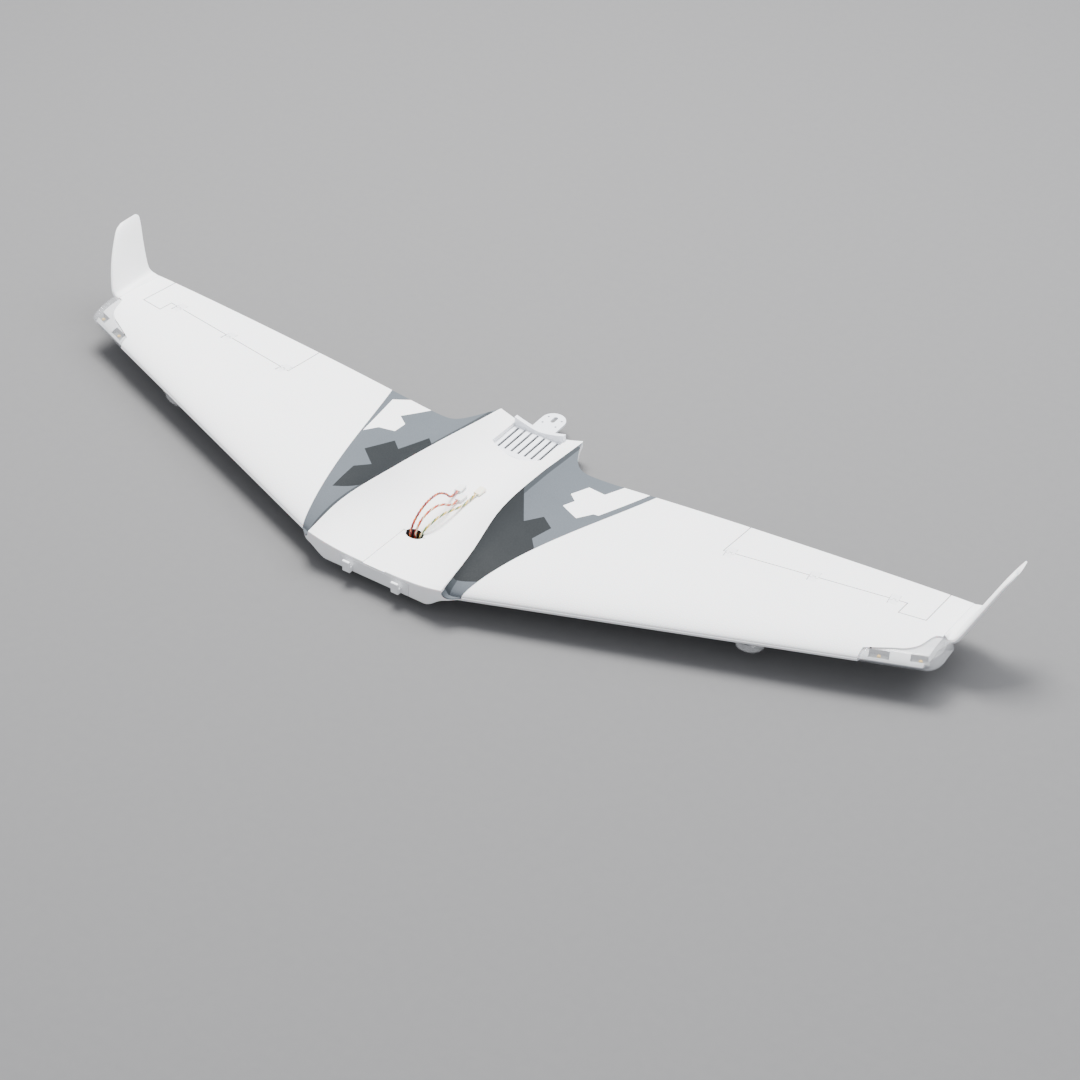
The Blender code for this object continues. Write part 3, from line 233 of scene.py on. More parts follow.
def surface(name, light, dark, roughness, effect, relief=0.0001, strength=0.3, metallic=0.0, rougher=0.12,
            **extra):
    """Principled material whose colour, roughness and bump follow an effect group."""
    material = bpy.data.materials.new(name)
    material.use_nodes = True
    nodes, links = material.node_tree.nodes, material.node_tree.links
    shader = nodes["Principled BSDF"]
    group = nodes.new("ShaderNodeGroup")
    group.node_tree = effect
    blend = nodes.new("ShaderNodeMix")
    blend.data_type = "RGBA"
    blend.inputs["A"].default_value = (*light, 1)
    blend.inputs["B"].default_value = (*dark, 1)
    links.new(group.outputs["Shade"], blend.inputs["Factor"])
    links.new(blend.outputs["Result"], shader.inputs["Base Color"])
    rough = reckon(nodes, links, "ADD", reckon(nodes, links, "MULTIPLY", group.outputs["Shade"], rougher),
                   roughness - rougher / 2)
    links.new(rough, shader.inputs["Roughness"])
    bump = nodes.new("ShaderNodeBump")
    bump.inputs["Strength"].default_value = strength
    bump.inputs["Distance"].default_value = relief
    links.new(group.outputs["Height"], bump.inputs["Height"])
    links.new(bump.outputs["Normal"], shader.inputs["Normal"])
    shader.inputs["Metallic"].default_value = metallic
    for socket, value in extra.items():
        shader.inputs[socket.replace("_", " ")].default_value = value
    return material


# ---------------------------------------------------------------- twisted leads and their plugs
# Three-strand copper leads in soft plastic, twisted together, rising from the oval hole in the tray
# and lying forward to aft over it; each ends in a moulded three-pin plug.
LEAD_R = 0.0015
STRAND_R = 0.00072
TWIST_PITCH = 0.0140
ROUTES = {
    "aft_servo_lead": ((-0.0030, -0.1055, 0.0118), (-0.0032, -0.1062, 0.0210), (-0.0034, -0.1052, 0.0330),
                       (-0.0030, -0.0960, 0.0455), (-0.0026, -0.0780, 0.0540), (-0.0030, -0.0560, 0.0530),
                       (-0.0045, -0.0390, 0.0420), (-0.0058, -0.0280, 0.0308), (-0.0068, -0.0200, 0.0283),
                       (-0.0076, -0.0130, 0.0278)),
    "fore_servo_lead": ((0.0012, -0.1030, 0.0118), (0.0014, -0.1042, 0.0220), (0.0018, -0.1020, 0.0350),
                        (0.0030, -0.0900, 0.0455), (0.0045, -0.0720, 0.0480), (0.0048, -0.0560, 0.0420),
                        (0.0042, -0.0430, 0.0328), (0.0036, -0.0350, 0.0295), (0.0034, -0.0280, 0.0290)),
    "light_lead": ((0.0054, -0.1005, 0.0118), (0.0060, -0.1022, 0.0200), (0.0074, -0.1016, 0.0300),
                   (0.0110, -0.0890, 0.0385), (0.0132, -0.0690, 0.0400), (0.0140, -0.0500, 0.0350),
                   (0.0138, -0.0320, 0.0295), (0.0135, -0.0170, 0.0288), (0.0134, -0.0060, 0.0284)),
}


def strand_colour(name, light):
    dark = [value * 0.72 for value in light]
    return surface(f"strand_{name}", light, dark, 0.42, MOULDED, 0.00003, 0.2, Coat_Weight=0.2)


STRANDS = {name: strand_colour(name, light) for name, light in {
    "red": (0.36, 0.006, 0.008), "brown": (0.09, 0.012, 0.012), "orange": (0.66, 0.11, 0.006),
    "yellow": (0.60, 0.38, 0.02), "green": (0.02, 0.11, 0.035), "cream": (0.66, 0.56, 0.36)}.items()}
LEAD_COLOURS = {"aft_servo_lead": ("red", "brown", "orange"), "fore_servo_lead": ("orange", "cream", "red"),
                "light_lead": ("yellow", "green", "cream")}
clear_plug = surface("plug_clear", (0.84, 0.85, 0.84), (0.74, 0.75, 0.74), 0.30, MOULDED, 0.00003, 0.2,
                     Subsurface_Weight=0.2, Subsurface_Scale=0.002)
cream_plug = surface("plug_cream", (0.84, 0.83, 0.70), (0.74, 0.72, 0.58), 0.32, MOULDED, 0.00003, 0.2,
                     Subsurface_Weight=0.2, Subsurface_Scale=0.002)


def even_route(points, steps=420):
    """Points at equal spacing along a smooth curve through the route, with running distances."""
    table = [(0.0, *points[0])]
    for first, second in zip(points, points[1:]):
        table.append((table[-1][0] + (Vector(second) - Vector(first)).length, *second))
    total = table[-1][0]
    return [Vector([curve_at(table, total * k / steps, axis) for axis in (1, 2, 3)])
            for k in range(steps + 1)]


for lead_name, route in ROUTES.items():
    line = even_route(route)
    walked = [0.0]
    for first, second in zip(line, line[1:]):
        walked.append(walked[-1] + (second - first).length)
    last = len(line) - 1

    def strand_point(along, around, phase):
        k = round(along * last)
        heading = (line[min(last, k + 1)] - line[max(0, k - 1)]).normalized()
        across = heading.cross(Vector((0.0, 0.35, 1.0))).normalized()
        over = across.cross(heading)
        twist = phase + 2 * math.pi * walked[k] / TWIST_PITCH
        out = (across * math.cos(twist) + over * math.sin(twist)) * (LEAD_R - STRAND_R)
        a = 2 * math.pi * around
        return line[k] + out + (across * math.cos(a) + over * math.sin(a)) * STRAND_R

    whole = bmesh.new()
    for number in range(3):
        strand = shaped_grid(last // 2, 10, lambda s, t, n=number: strand_point(s, t, n * 2 * math.pi / 3))
        for face in close_ends(strand).faces:
            face.material_index = number
        part_mesh = bpy.data.meshes.new("strand")
        strand.to_mesh(part_mesh)
        whole.from_mesh(part_mesh)
        bpy.data.meshes.remove(part_mesh)
    lead = as_object(f"{lead_name}_strands", whole)
    set_on(lead, "airframe", lead_name, *[STRANDS[name] for name in LEAD_COLOURS[lead_name]])
    plug = NODES[lead_name.replace("lead", "plug")]
    plug.data.materials.clear()
    plug.data.materials.append(cream_plug if lead_name == "light_lead" else clear_plug)


# ---------------------------------------------------------------- floor and light
# A grey matt sheet under the belly, lit by a square bank high behind the starboard wing and a
# broader, weaker one high behind the port wing, in an even pale surround.
floor_finish = surface("floor", (0.139, 0.139, 0.140), (0.128, 0.128, 0.131), 0.85, MOULDED, 0.00005, 0.05,
                       Specular_IOR_Level=0.2)
FLOOR_SIZE, FLOOR_Z = 12.0, -0.0004
floor = as_object("floor", shaped_grid(
    1, 1, lambda s, t: Vector(((s - 0.5) * FLOOR_SIZE, (t - 0.5) * FLOOR_SIZE, FLOOR_Z))))
floor.data.materials.append(floor_finish)

world = bpy.data.worlds.new("studio")
bpy.context.scene.world = world
world.use_nodes = True
world.node_tree.nodes["Background"].inputs["Color"].default_value = (0.93, 0.95, 1.0, 1)
world.node_tree.nodes["Background"].inputs["Strength"].default_value = 1.15


def softbox(name, place, size, watts, aim=(0.0, 0.05, 0.03), colour=(1.0, 1.0, 1.0)):
    data = bpy.data.lights.new(name, "AREA")
    data.shape, data.size, data.energy, data.color = "SQUARE", size, watts, colour
    lamp = bpy.data.objects.new(name, data)
    bpy.context.scene.collection.objects.link(lamp)
    facing = (Vector(place) - Vector(aim)).to_track_quat("Z", "Y").to_matrix().to_4x4()
    lamp.matrix_world = Matrix.Translation(place) @ facing


softbox("bank", (-0.8, 0.8, 2.9), 1.3, 300.0, colour=(1.0, 0.99, 0.97))
softbox("overhead", (0.9, 1.5, 2.7), 2.4, 135.0, colour=(0.97, 0.98, 1.0))


# ---------------------------------------------------------------- wing surface
# Swept reflexed section, the same on both sides; every foam and clear piece of the wing follows it.
ROOT_LE, ROOT_TE = (0.1062, -0.1643), (0.1827, 0.1003)
TIP_X, LE_SWEEP = 0.5585, 0.3646
TE_LINE = ((0.0980, 0.0925), (0.1827, 0.1003), (0.2990, 0.1083), (0.5320, 0.1180), (0.5800, 0.1182))
GAP = 0.0003                # glue line at the joint plane
NOSE_R = 0.0012
HINGE_SHARE, HINGE_DEPTH = 0.711, 0.0017    # the axis in the chord, and under the upper skin
LINK_X = 0.3880
HINGE_X = (0.3060, 0.4000, 0.4880)
ELEVON_X, TAB_X, TAB_REACH = (0.2985, 0.5317), (0.5031, 0.5317), 0.0205
SERVO_Y, SERVO_SINK = -0.0420, 0.0062       # the arm's axis, and its face above the lower skin


def le_y(x):
    return ROOT_LE[1] + LE_SWEEP * (x - ROOT_LE[0])


def te_y(x):
    if x < TE_LINE[0][0]:
        rise, run = ROOT_TE[1] - TE_LINE[0][1], ROOT_TE[0] - TE_LINE[0][0]
        return TE_LINE[0][1] + (x - TE_LINE[0][0]) * rise / run
    return curve_at(TE_LINE, x)


def chord_share(x, y):
    return min(1.0, max(0.0, (y - le_y(x)) / (te_y(x) - le_y(x))))


def section_half(u):
    return 5 * (0.2969 * math.sqrt(u) - 0.1260 * u - 0.3516 * u ** 2 + 0.2843 * u ** 3 - 0.1036 * u ** 4)


def wing_middle(x, y):
    u = chord_share(x, y)
    leading, trailing = 0.0300 + 0.0205 * (x - ROOT_LE[0]), 0.0261 + 0.0382 * (x - ROOT_LE[0])
    return leading + (trailing - leading) * u + 0.171 * (te_y(x) - le_y(x)) * u * (1 - u) * (0.80 - u)


def wing_half(x, y):
    along = min(1.0, max(0.0, (x - ROOT_LE[0]) / (TIP_X - ROOT_LE[0])))
    return (0.0250 - 0.0105 * along) * section_half(chord_share(x, y)) + NOSE_R


def wing_skin(x, y, sign):
    return wing_middle(x, y) + sign * wing_half(x, y)


def joint_x(y):
    return ROOT_LE[0] + (ROOT_TE[0] - ROOT_LE[0]) * (y - ROOT_LE[1]) / (ROOT_TE[1] - ROOT_LE[1])


def hinge_frame():
    """Port frame at the linkage: x along the hinge axis, y aft, z up."""
    ends = []
    for x in ELEVON_X:
        y = le_y(x) + HINGE_SHARE * (te_y(x) - le_y(x))
        ends.append(Vector((x, y, wing_skin(x, y, 1) - HINGE_DEPTH)))
    along = (ends[1] - ends[0]).normalized()
    aft = Vector((0, 0, 1)).cross(along).normalized()
    found = Matrix((along, aft, along.cross(aft))).transposed().to_4x4()
    found.translation = ends[0] + along * ((LINK_X - ends[0].x) / along.x)
    return found


HINGE = hinge_frame()
ALONG = HINGE.col[0].to_3d()
SERVO = Matrix.Translation(Vector((LINK_X, SERVO_Y, wing_skin(LINK_X, SERVO_Y, -1) + SERVO_SINK))
                           - HINGE.translation) @ HINGE
NOTCH_WIDTH, NOTCH_FLOOR, NOTCH_TOP = 0.0106, -0.0022, 0.01
KNUCKLE_REACH, LEAF_REACH = 0.0020, 0.0098


def axis_prism(outline, x_low, x_high):
    """An outline in the hinge frame's aft and up, pushed along the axis between two span planes."""
    corners = [HINGE @ Vector((0, aft, up)) for aft, up in outline]
    corners = [corner + ALONG * ((x_low - corner.x) / ALONG.x) for corner in corners]
    bm = prism(corners, ALONG * ((x_high - x_low) / ALONG.x))
    for vert in bm.verts:
        vert.co.x = x_low if vert.co.x < (x_low + x_high) / 2 else x_high
    return bm


def hinge_notch(x, facing):
    """Cutter for one hinge: deep round the knuckles, shallow under the leaf it faces."""
    outline = ((-KNUCKLE_REACH, NOTCH_FLOOR), (KNUCKLE_REACH, NOTCH_FLOOR), (KNUCKLE_REACH, 0.0),
               (LEAF_REACH, 0.0), (LEAF_REACH, NOTCH_TOP), (-KNUCKLE_REACH, NOTCH_TOP))
    at = Matrix.Translation(ALONG * ((x - HINGE.translation.x) / ALONG.x)) @ HINGE
    return prism([at @ Vector((-NOTCH_WIDTH / 2, facing * aft, up)) for aft, up in outline],
                 ALONG * NOTCH_WIDTH)


# ---------------------------------------------------------------- foam finishes
# Moulded white bead foam; the flanks of the centre body are sprayed in two greys, with a darker grey along
# each crest that is painted shade on its steep wall, and the pockets cut into the foam are painted dark as
# shade.
white_foam = surface("foam_white", (0.86, 0.865, 0.87), (0.80, 0.805, 0.815), 0.62, BEADS, 0.00022, 0.35,
                     Subsurface_Weight=0.08, Subsurface_Scale=0.004)
# Near-black foam for the light pockets, the lead hole and the vent's duct: painted shade in the recesses.
recess_shade_foam = surface("foam_recess_shade", (0.040, 0.041, 0.043), (0.030, 0.031, 0.033), 0.70, BEADS, 0.0002, 0.3)
light_paint = surface("paint_light_grey", (0.088, 0.100, 0.113), (0.074, 0.085, 0.097), 0.70, PAINTED_BEADS,
                      0.0002, 0.3, Specular_IOR_Level=0.12)
dark_paint = surface("paint_dark_grey", (0.0115, 0.0140, 0.0158), (0.0085, 0.0105, 0.0122), 0.66,
                     PAINTED_BEADS, 0.0002, 0.3, Specular_IOR_Level=0.15)
# Darker grey for the steep wall under each crest: painted shade, not a paint of the model's own.
crest_shade_paint = surface("paint_crest_shade", (0.040, 0.046, 0.052), (0.031, 0.037, 0.042), 0.70, PAINTED_BEADS,
                     0.0002, 0.3, Specular_IOR_Level=0.12)

# ---------------------------------------------------------------- wing panels
# Bead foam panels between the joint plane and the tip, open for the elevon, its hinges, the servo
# and the tip lens; each is glued to the centre body over a carbon tube.
RING_ROWS = 128
LENS_EDGE = ((0.4970, -0.0105), (0.5240, 0.0045), (0.5370, 0.0120), (0.5460, 0.0235),
             (0.5510, 0.0400), (0.5580, 0.0450), (0.5760, 0.0455))
LENS_X = (0.4988, 0.5730)
STEP_ROWS, STEP_DEPTH, STEP_OUTSIDE = 56, 0.0022, -0.0060
STEP_X = (LENS_EDGE[0][0], 0.5600)
LIGHT_PLACES = ((0.5140, -0.0068), (0.5530, 0.0090))
POCKET = ((-0.0105, -0.0043, -0.0008), (0.0105, 0.0038, 0.02))
FAR, TALL = 0.12, 0.04      # beyond the trailing edge, and above and below every skin
AXIS_GAP, END_GAP = 0.0006, 0.0012
BAY = ((-0.0270, -0.0107), (-0.0039, -0.0107), (-0.0039, -0.0090), (0.0052, -0.0090),
       (0.0052, 0.0090), (-0.0039, 0.0090), (-0.0039, 0.0221), (-0.0270, 0.0221))
BAY_UNDER, BAY_HEIGHT = -0.03, 0.0363


def around_section(t):
    """Share of the chord, and the turn round the nose from 1 on top to -1 below."""
    w = min(1.0, 2 * t * RING_ROWS / (RING_ROWS - 1) - 1)
    nose = 0.07
    if t > 1 - 0.5 / RING_ROWS:
        w = -1.0
    if abs(w) < nose:
        return 0.0, -w / nose
    return ((abs(w) - nose) / (1 - nose)) ** 1.75, math.copysign(1.0, -w)


def wing_point(s, t):
    u, turned = around_section(t)
    x = ROOT_TE[0]
    for _ in range(10):
        y = le_y(x) + u * (te_y(x) - le_y(x))
        root = joint_x(y) + GAP
        x = root + (TIP_X - root) * s
    y = le_y(x) + u * (te_y(x) - le_y(x))
    angle = turned * math.pi / 2
    half = wing_half(x, y) * math.sin(angle)
    return Vector((x, y - 0.6 * NOSE_R * math.cos(angle), wing_middle(x, y) + half))


def lens_front(x):
    if x <= TIP_X:
        return le_y(x)
    t = (x - TIP_X) / (LENS_X[1] - TIP_X)
    return le_y(TIP_X) + LE_SWEEP * (x - TIP_X) + 0.0140 * (1 - math.sqrt(max(0.0, 1 - t ** 2.4)))


def tip_point(x, y, turned, inset):
    """Point of the tip's skin drawn in by an inset; turned runs from 1 on top to -1 below."""
    flat, start = min(x, TIP_X + 0.004), lens_front(x)
    base = le_y(flat) + max(0.0, y - start)
    fade = 1.0
    if x > TIP_X:
        fade = math.sqrt(max(0.02, 1 - ((x - TIP_X) / (LENS_X[1] - TIP_X)) ** 2.2))
    blunt = 1 - math.exp(-220 * max(0.0, y - start))
    half = max(0.0005, wing_half(flat, base) * fade - inset * (1.8 - 0.75 * blunt))
    return Vector((x, y, wing_middle(flat, base) + half * turned))


def tip_shell_point(s, t, inset, x_low, x_high, rear_shift):
    """C-shaped rows from the upper rear edge round the nose to the lower rear edge."""
    x = x_low + (x_high - x_low) * s ** 0.8
    start, end = lens_front(x) + inset, curve_at(LENS_EDGE, x) + rear_shift
    w = 2 * t - 1
    nose = 0.12
    if abs(w) <= nose:
        angle = -w / nose * math.pi / 2
        point = tip_point(x, start, math.sin(angle), inset)
        return point - Vector((0, 0.0007 * math.cos(angle), 0))
    share = ((abs(w) - nose) / (1 - nose)) ** 1.5
    return tip_point(x, start + (end - start) * share, math.copysign(1.0, -w), inset)


def lens_step_point(s, t):
    """Cutter of the step under a lens: round the foam core first, then back outside the skin."""
    k = round(t * 2 * STEP_ROWS) % (2 * STEP_ROWS)
    if k < STEP_ROWS:
        return tip_shell_point(s, k / (STEP_ROWS - 1), STEP_DEPTH, *STEP_X, 0.0)
    return tip_shell_point(s, (2 * STEP_ROWS - 1 - k) / (STEP_ROWS - 1), STEP_OUTSIDE, *STEP_X, 0.0)


def light_frame(spot):
    x, y = spot
    turned = Matrix.Rotation(math.atan(LE_SWEEP), 4, "Z")
    return Matrix.Translation((x, y, wing_middle(x, y) - 0.0012)) @ turned


for name, side in (("port", 1), ("starboard", -1)):
    wing = as_object(f"{name}_wing_foam", close_ends(shaped_grid(100, RING_ROWS, wing_point)), side)
    for front, rear, ends in ((-AXIS_GAP, FAR, ELEVON_X), (-TAB_REACH - END_GAP, 0.01, TAB_X)):
        outline = ((front, -TALL), (rear, -TALL), (rear, TALL), (front, TALL))
        carve(wing, axis_prism(outline, ends[0] - END_GAP, ends[1] + END_GAP), side)
    for x in HINGE_X:
        carve(wing, hinge_notch(x, -1), side)
    corners = [SERVO @ Vector((a, b, BAY_UNDER)) for a, b in BAY]
    carve(wing, prism(corners, SERVO.to_3x3() @ Vector((0, 0, BAY_HEIGHT))), side)
    carve(wing, close_ends(shaped_grid(40, 2 * STEP_ROWS, lens_step_point)), side)
    for spot in LIGHT_PLACES:
        carve(wing, box(*POCKET, light_frame(spot)), side)
    settle(wing)
    set_on(wing, "airframe", f"{name}_wing", white_foam, recess_shade_foam)
    # Faces of the light pockets take the near-black foam as painted shade.
    for face in wing.data.polygons:
        for spot in LIGHT_PLACES:
            at = light_frame(spot).inverted() @ Vector((abs(face.center.x), *face.center[1:]))
            if abs(at.x) < 0.0106 and -0.0044 < at.y < 0.0039 and abs(at.z) < 0.02:
                face.material_index = 1

# ---------------------------------------------------------------- elevons
# Foam control surfaces bevelled below at the front, with a balance tab ahead of the hinge line near
# the tip; they swing on the three pinned hinges.
DROP = 0.03                 # above and below the elevon's skins
BEVEL, BEVEL_TOP = math.tan(math.radians(31)), 0.0012
TAB_REAR = 0.012            # where the tab has run into the elevon
HORN_TILT = math.radians(-18)
HORN_SLOT = ((-0.0003, 0.0102, -0.0097), (0.0019, 0.0168, -0.0027))
for name, side in (("port", 1), ("starboard", -1)):
    elevon = as_object(f"{name}_elevon_foam", close_ends(shaped_grid(100, RING_ROWS, wing_point)), side)
    blade = ((AXIS_GAP, DROP), (AXIS_GAP, BEVEL_TOP), (AXIS_GAP + DROP * BEVEL, BEVEL_TOP - DROP),
             (FAR, -DROP), (FAR, DROP))
    keep = as_object("keep", axis_prism(blade, *ELEVON_X), side)
    tab = [(TAB_REAR, DROP), (-TAB_REACH * 0.99, DROP)]
    tab += [(TAB_REACH * math.cos(math.radians(a)), TAB_REACH * math.sin(math.radians(a)))
            for a in range(176, 249, 6)] + [(TAB_REAR, -TAB_REACH)]
    carve(keep, axis_prism(tab, *TAB_X), side, "UNION")
    settle(keep)
    step = elevon.modifiers.new("keep", "BOOLEAN")
    step.operation, step.solver, step.object = "INTERSECT", "EXACT", keep
    for x in HINGE_X:
        carve(elevon, hinge_notch(x, 1), side)
    carve(elevon, box(*HORN_SLOT, HINGE @ Matrix.Rotation(HORN_TILT, 4, "X")), side)
    settle(elevon)
    set_on(elevon, f"{name}_elevon_body", f"{name}_elevon", white_foam)

# ---------------------------------------------------------------- winglets
# Thin foam fins that turn up from the wing's tip section, glued on behind the lens.
WINGLET_ROWS = (            # row, x, z, front, rear, thickness, lean in degrees
    (0.0, 0.5588, 0.0434, 0.0482, 0.1180, 0.0110, 0), (1.0, 0.5645, 0.0447, 0.0480, 0.1177, 0.0085, 14),
    (2.0, 0.5700, 0.0478, 0.0482, 0.1166, 0.0070, 34), (3.0, 0.5742, 0.0540, 0.0500, 0.1160, 0.0062, 55),
    (5.0, 0.5860, 0.0790, 0.0655, 0.1238, 0.0052, 61), (7.0, 0.5975, 0.1030, 0.0880, 0.1335, 0.0045, 62),
    (7.6, 0.6010, 0.1090, 0.0965, 0.1350, 0.0040, 62), (8.0, 0.6025, 0.1118, 0.1050, 0.1318, 0.0030, 62))


def winglet_point(s, t):
    u, turned = around_section(t)
    row = 8.0 * s
    x, z, front, rear, thick, lean = [curve_at(WINGLET_ROWS, row, column) for column in range(1, 7)]
    y = front + (rear - front) * u
    curl = min(1.0, row)
    half = (thick * (section_half(u) + 0.12) + 0.0003) * math.sin(turned * math.pi / 2)
    tilt = math.radians(lean)
    free = Vector((x - half * math.sin(tilt), y - 0.0008 * (1 - abs(math.sin(turned * math.pi / 2))),
                   z + half * math.cos(tilt)))
    rooted = Vector((x, y, wing_middle(TIP_X, y) + wing_half(TIP_X, y) * math.sin(turned * math.pi / 2)))
    return rooted.lerp(free, curl * curl * (3 - 2 * curl))


for name, side in (("port", 1), ("starboard", -1)):
    winglet = as_object(f"{name}_winglet_foam", close_ends(shaped_grid(72, RING_ROWS, winglet_point)), side)
    set_on(winglet, "airframe", f"{name}_winglet", white_foam, crease=50)

# ---------------------------------------------------------------- centre body
# One foam moulding: dished tray between two crests, flanks that run down to the wing joints, a flat
# belly, the nose groove and lead hole, and the seats of the latch strip and vent frame.
BODY_STATIONS = (           # y, crest's x and z, tray's floor, belly, power of the tray's rise
    (-0.177, 0.0885, 0.0415, 0.0330, 0.0125, 3.2), (-0.120, 0.0850, 0.0512, 0.0303, 0.0062, 2.6),
    (-0.043, 0.0700, 0.0551, 0.0268, 0.0000, 2.2), (0.047, 0.0618, 0.0453, 0.0208, 0.0000, 2.1),
    (0.094, 0.0591, 0.0373, 0.0168, 0.0000, 2.0), (0.144, 0.0567, 0.0290, 0.0160, 0.0010, 1.6))
NOSE_Y, TAIL_Y = BODY_STATIONS[0][0], BODY_STATIONS[-1][0]
NOSE_EDGE_R = 0.0030
TAIL_CURVE = 0.32           # share of the flank over which the tail runs into the trailing edge


def crest_x(y):
    return curve_at(BODY_STATIONS, y, 1)


def body_top(x, y):
    crest = curve_at(BODY_STATIONS, y, 2)
    if x <= crest_x(y):
        floor_z = curve_at(BODY_STATIONS, y, 3)
        return floor_z + (crest - floor_z) * (x / crest_x(y)) ** curve_at(BODY_STATIONS, y, 5)
    rise = crest - wing_skin(crest_x(y), y, 1)
    flank = min(1.0, (x - crest_x(y)) / (joint_x(y) - crest_x(y)))
    return wing_skin(x, y, 1) + rise * (1 - flank) ** 3.6


def body_bottom(x, y):
    belly = max(0.0, curve_at(BODY_STATIONS, y, 4))
    share = min(1.0, max(0.0, (x / crest_x(y) - 0.74) / 0.32))
    return belly + (wing_skin(x, y, -1) - belly) * share * share * (3 - 2 * share)


def rib_x(rib, y):
    if rib <= 1:
        return rib * crest_x(y)
    return crest_x(y) + (joint_x(y) - GAP / 2 - crest_x(y)) * (rib - 1)


def rib_ends(rib):
    if rib <= 1:
        return NOSE_Y, TAIL_Y
    r = rib - 1
    start = NOSE_Y + (ROOT_LE[1] - NOSE_Y) * (1 - math.cos(r * math.pi / 2)) ** 0.9
    if r < TAIL_CURVE:
        return start, TE_LINE[0][1] + (TAIL_Y - TE_LINE[0][1]) * (1 - r / TAIL_CURVE) ** 2.6
    rear = ROOT_TE[1]
    for _ in range(8):
        rear = te_y(rib_x(rib, rear))
    return start, rear


def body_point(s, t):
    """Across the body from starboard to port, and round each rib from the tail over the nose."""
    u, turned = around_section(t)
    across = 2 * s - 1
    rib = 2 * abs(across)
    start, rear = rib_ends(rib)
    outer = max(0.0, rib - 1)
    edge = NOSE_EDGE_R + (NOSE_R * 0.6 - NOSE_EDGE_R) * outer
    angle = turned * math.pi / 2
    squareness = 0.25 + 0.75 * outer
    y = start + (rear - start) * u
    x = rib_x(rib, y)
    top, bottom = body_top(x, y), body_bottom(x, y)
    height = math.copysign(abs(math.sin(angle)) ** squareness, angle)
    if abs(turned) < 1:
        y += edge * (1 - outer) - edge * math.cos(angle) ** squareness
    elif u < 0.02:
        y += edge * (1 - outer) * (1 - u / 0.02)
    return Vector((math.copysign(x, across), y, (top + bottom) / 2 + (top - bottom) / 2 * height))


# Plan outlines of the sprayed pattern on each flank, from the joint inwards, and of the band of painted
# shade that follows the crest on its steep wall.
PORT_WHITE = ((0.1759, 0.1040), (0.1433, 0.1000), (0.1433, 0.0970), (0.1336, 0.0709), (0.1121, 0.0724),
              (0.1043, 0.0470), (0.1154, 0.0381), (0.1106, 0.0215), (0.1361, 0.0090), (0.1463, 0.0278),
              (0.1524, 0.0286))
PORT_DARK = ((0.0500, 0.0230), (0.0640, 0.0140), (0.0963, -0.0337), (0.1077, -0.0114), (0.1265, -0.0252),
             (0.1213, -0.0545), (0.1355, -0.0711), (0.1500, -0.0760), (0.1200, -0.1423), (0.1143, -0.1423),
             (0.0920, -0.1546), (0.0700, -0.1560), (0.0500, -0.0500))
STARBOARD_WHITE = ((-0.1700, 0.0840), (-0.1522, 0.0990), (-0.1500, 0.1040), (-0.1200, 0.1010),
                   (-0.1217, 0.0951), (-0.1415, 0.0614), (-0.1264, 0.0501), (-0.1258, 0.0297),
                   (-0.1445, 0.0238), (-0.1534, 0.0062))
STARBOARD_DARK = ((-0.1120, -0.1036), (-0.1160, -0.0600), (-0.1018, -0.0456), (-0.1283, -0.0239),
                  (-0.1128, 0.0124), (-0.0975, -0.0015), (-0.0829, 0.0378), (-0.0660, 0.0202),
                  (-0.0500, 0.0150), (-0.0500, -0.0800), (-0.0800, -0.0880))
NEAR = Vector((0.0005, 0.0005))
# Band along each crest's outer flank that gets painted shade for its steep wall.
CREST_TRIM, CREST_SHADE_WIDTH, CREST_SHADE_Y = 0.0008, 0.0062, (-0.1700, 0.1300)
CREST_SHADE_STEPS = [CREST_SHADE_Y[0] + (CREST_SHADE_Y[1] - CREST_SHADE_Y[0]) * k / 20 for k in range(21)]
CREST_SHADE_BAND = tuple((crest_x(y) + CREST_SHADE_WIDTH, y) for y in CREST_SHADE_STEPS)
CREST_SHADE_BAND += tuple((crest_x(y) + CREST_TRIM, y) for y in reversed(CREST_SHADE_STEPS))


def inside(point, outline):
    found = False
    for (x0, y0), (x1, y1) in zip(outline, outline[1:] + outline[:1]):
        if (y0 > point.y) != (y1 > point.y) and point.x < (x1 - x0) * (point.y - y0) / (y1 - y0) + x0:
            found = not found
    return found


def faces_up(face):
    return face.normal.z > 0.02


def near_line(face, low, high):
    """Whether a face's box meets the plan box from low to high."""
    return all(min(v.co[k] for v in face.verts) < high[k] and max(v.co[k] for v in face.verts) > low[k]
               for k in (0, 1))


def flank_finish(centre):
    """Slot of the paint at a place on a flank: 0 bare foam, 1 light, 2 dark, 3 painted shade by the crest.
    """
    white, dark = (PORT_WHITE, PORT_DARK) if centre.x > 0 else (STARBOARD_WHITE, STARBOARD_DARK)
    if inside(centre, white):
        return 0
    if inside(centre, dark):
        return 2
    # Faces next to the crest get the painted shade of its steep wall.
    in_crest_shade = abs(centre.x) < crest_x(centre.y) + CREST_SHADE_WIDTH and CREST_SHADE_Y[0] < centre.y < CREST_SHADE_Y[1]
    return 3 if in_crest_shade else 1


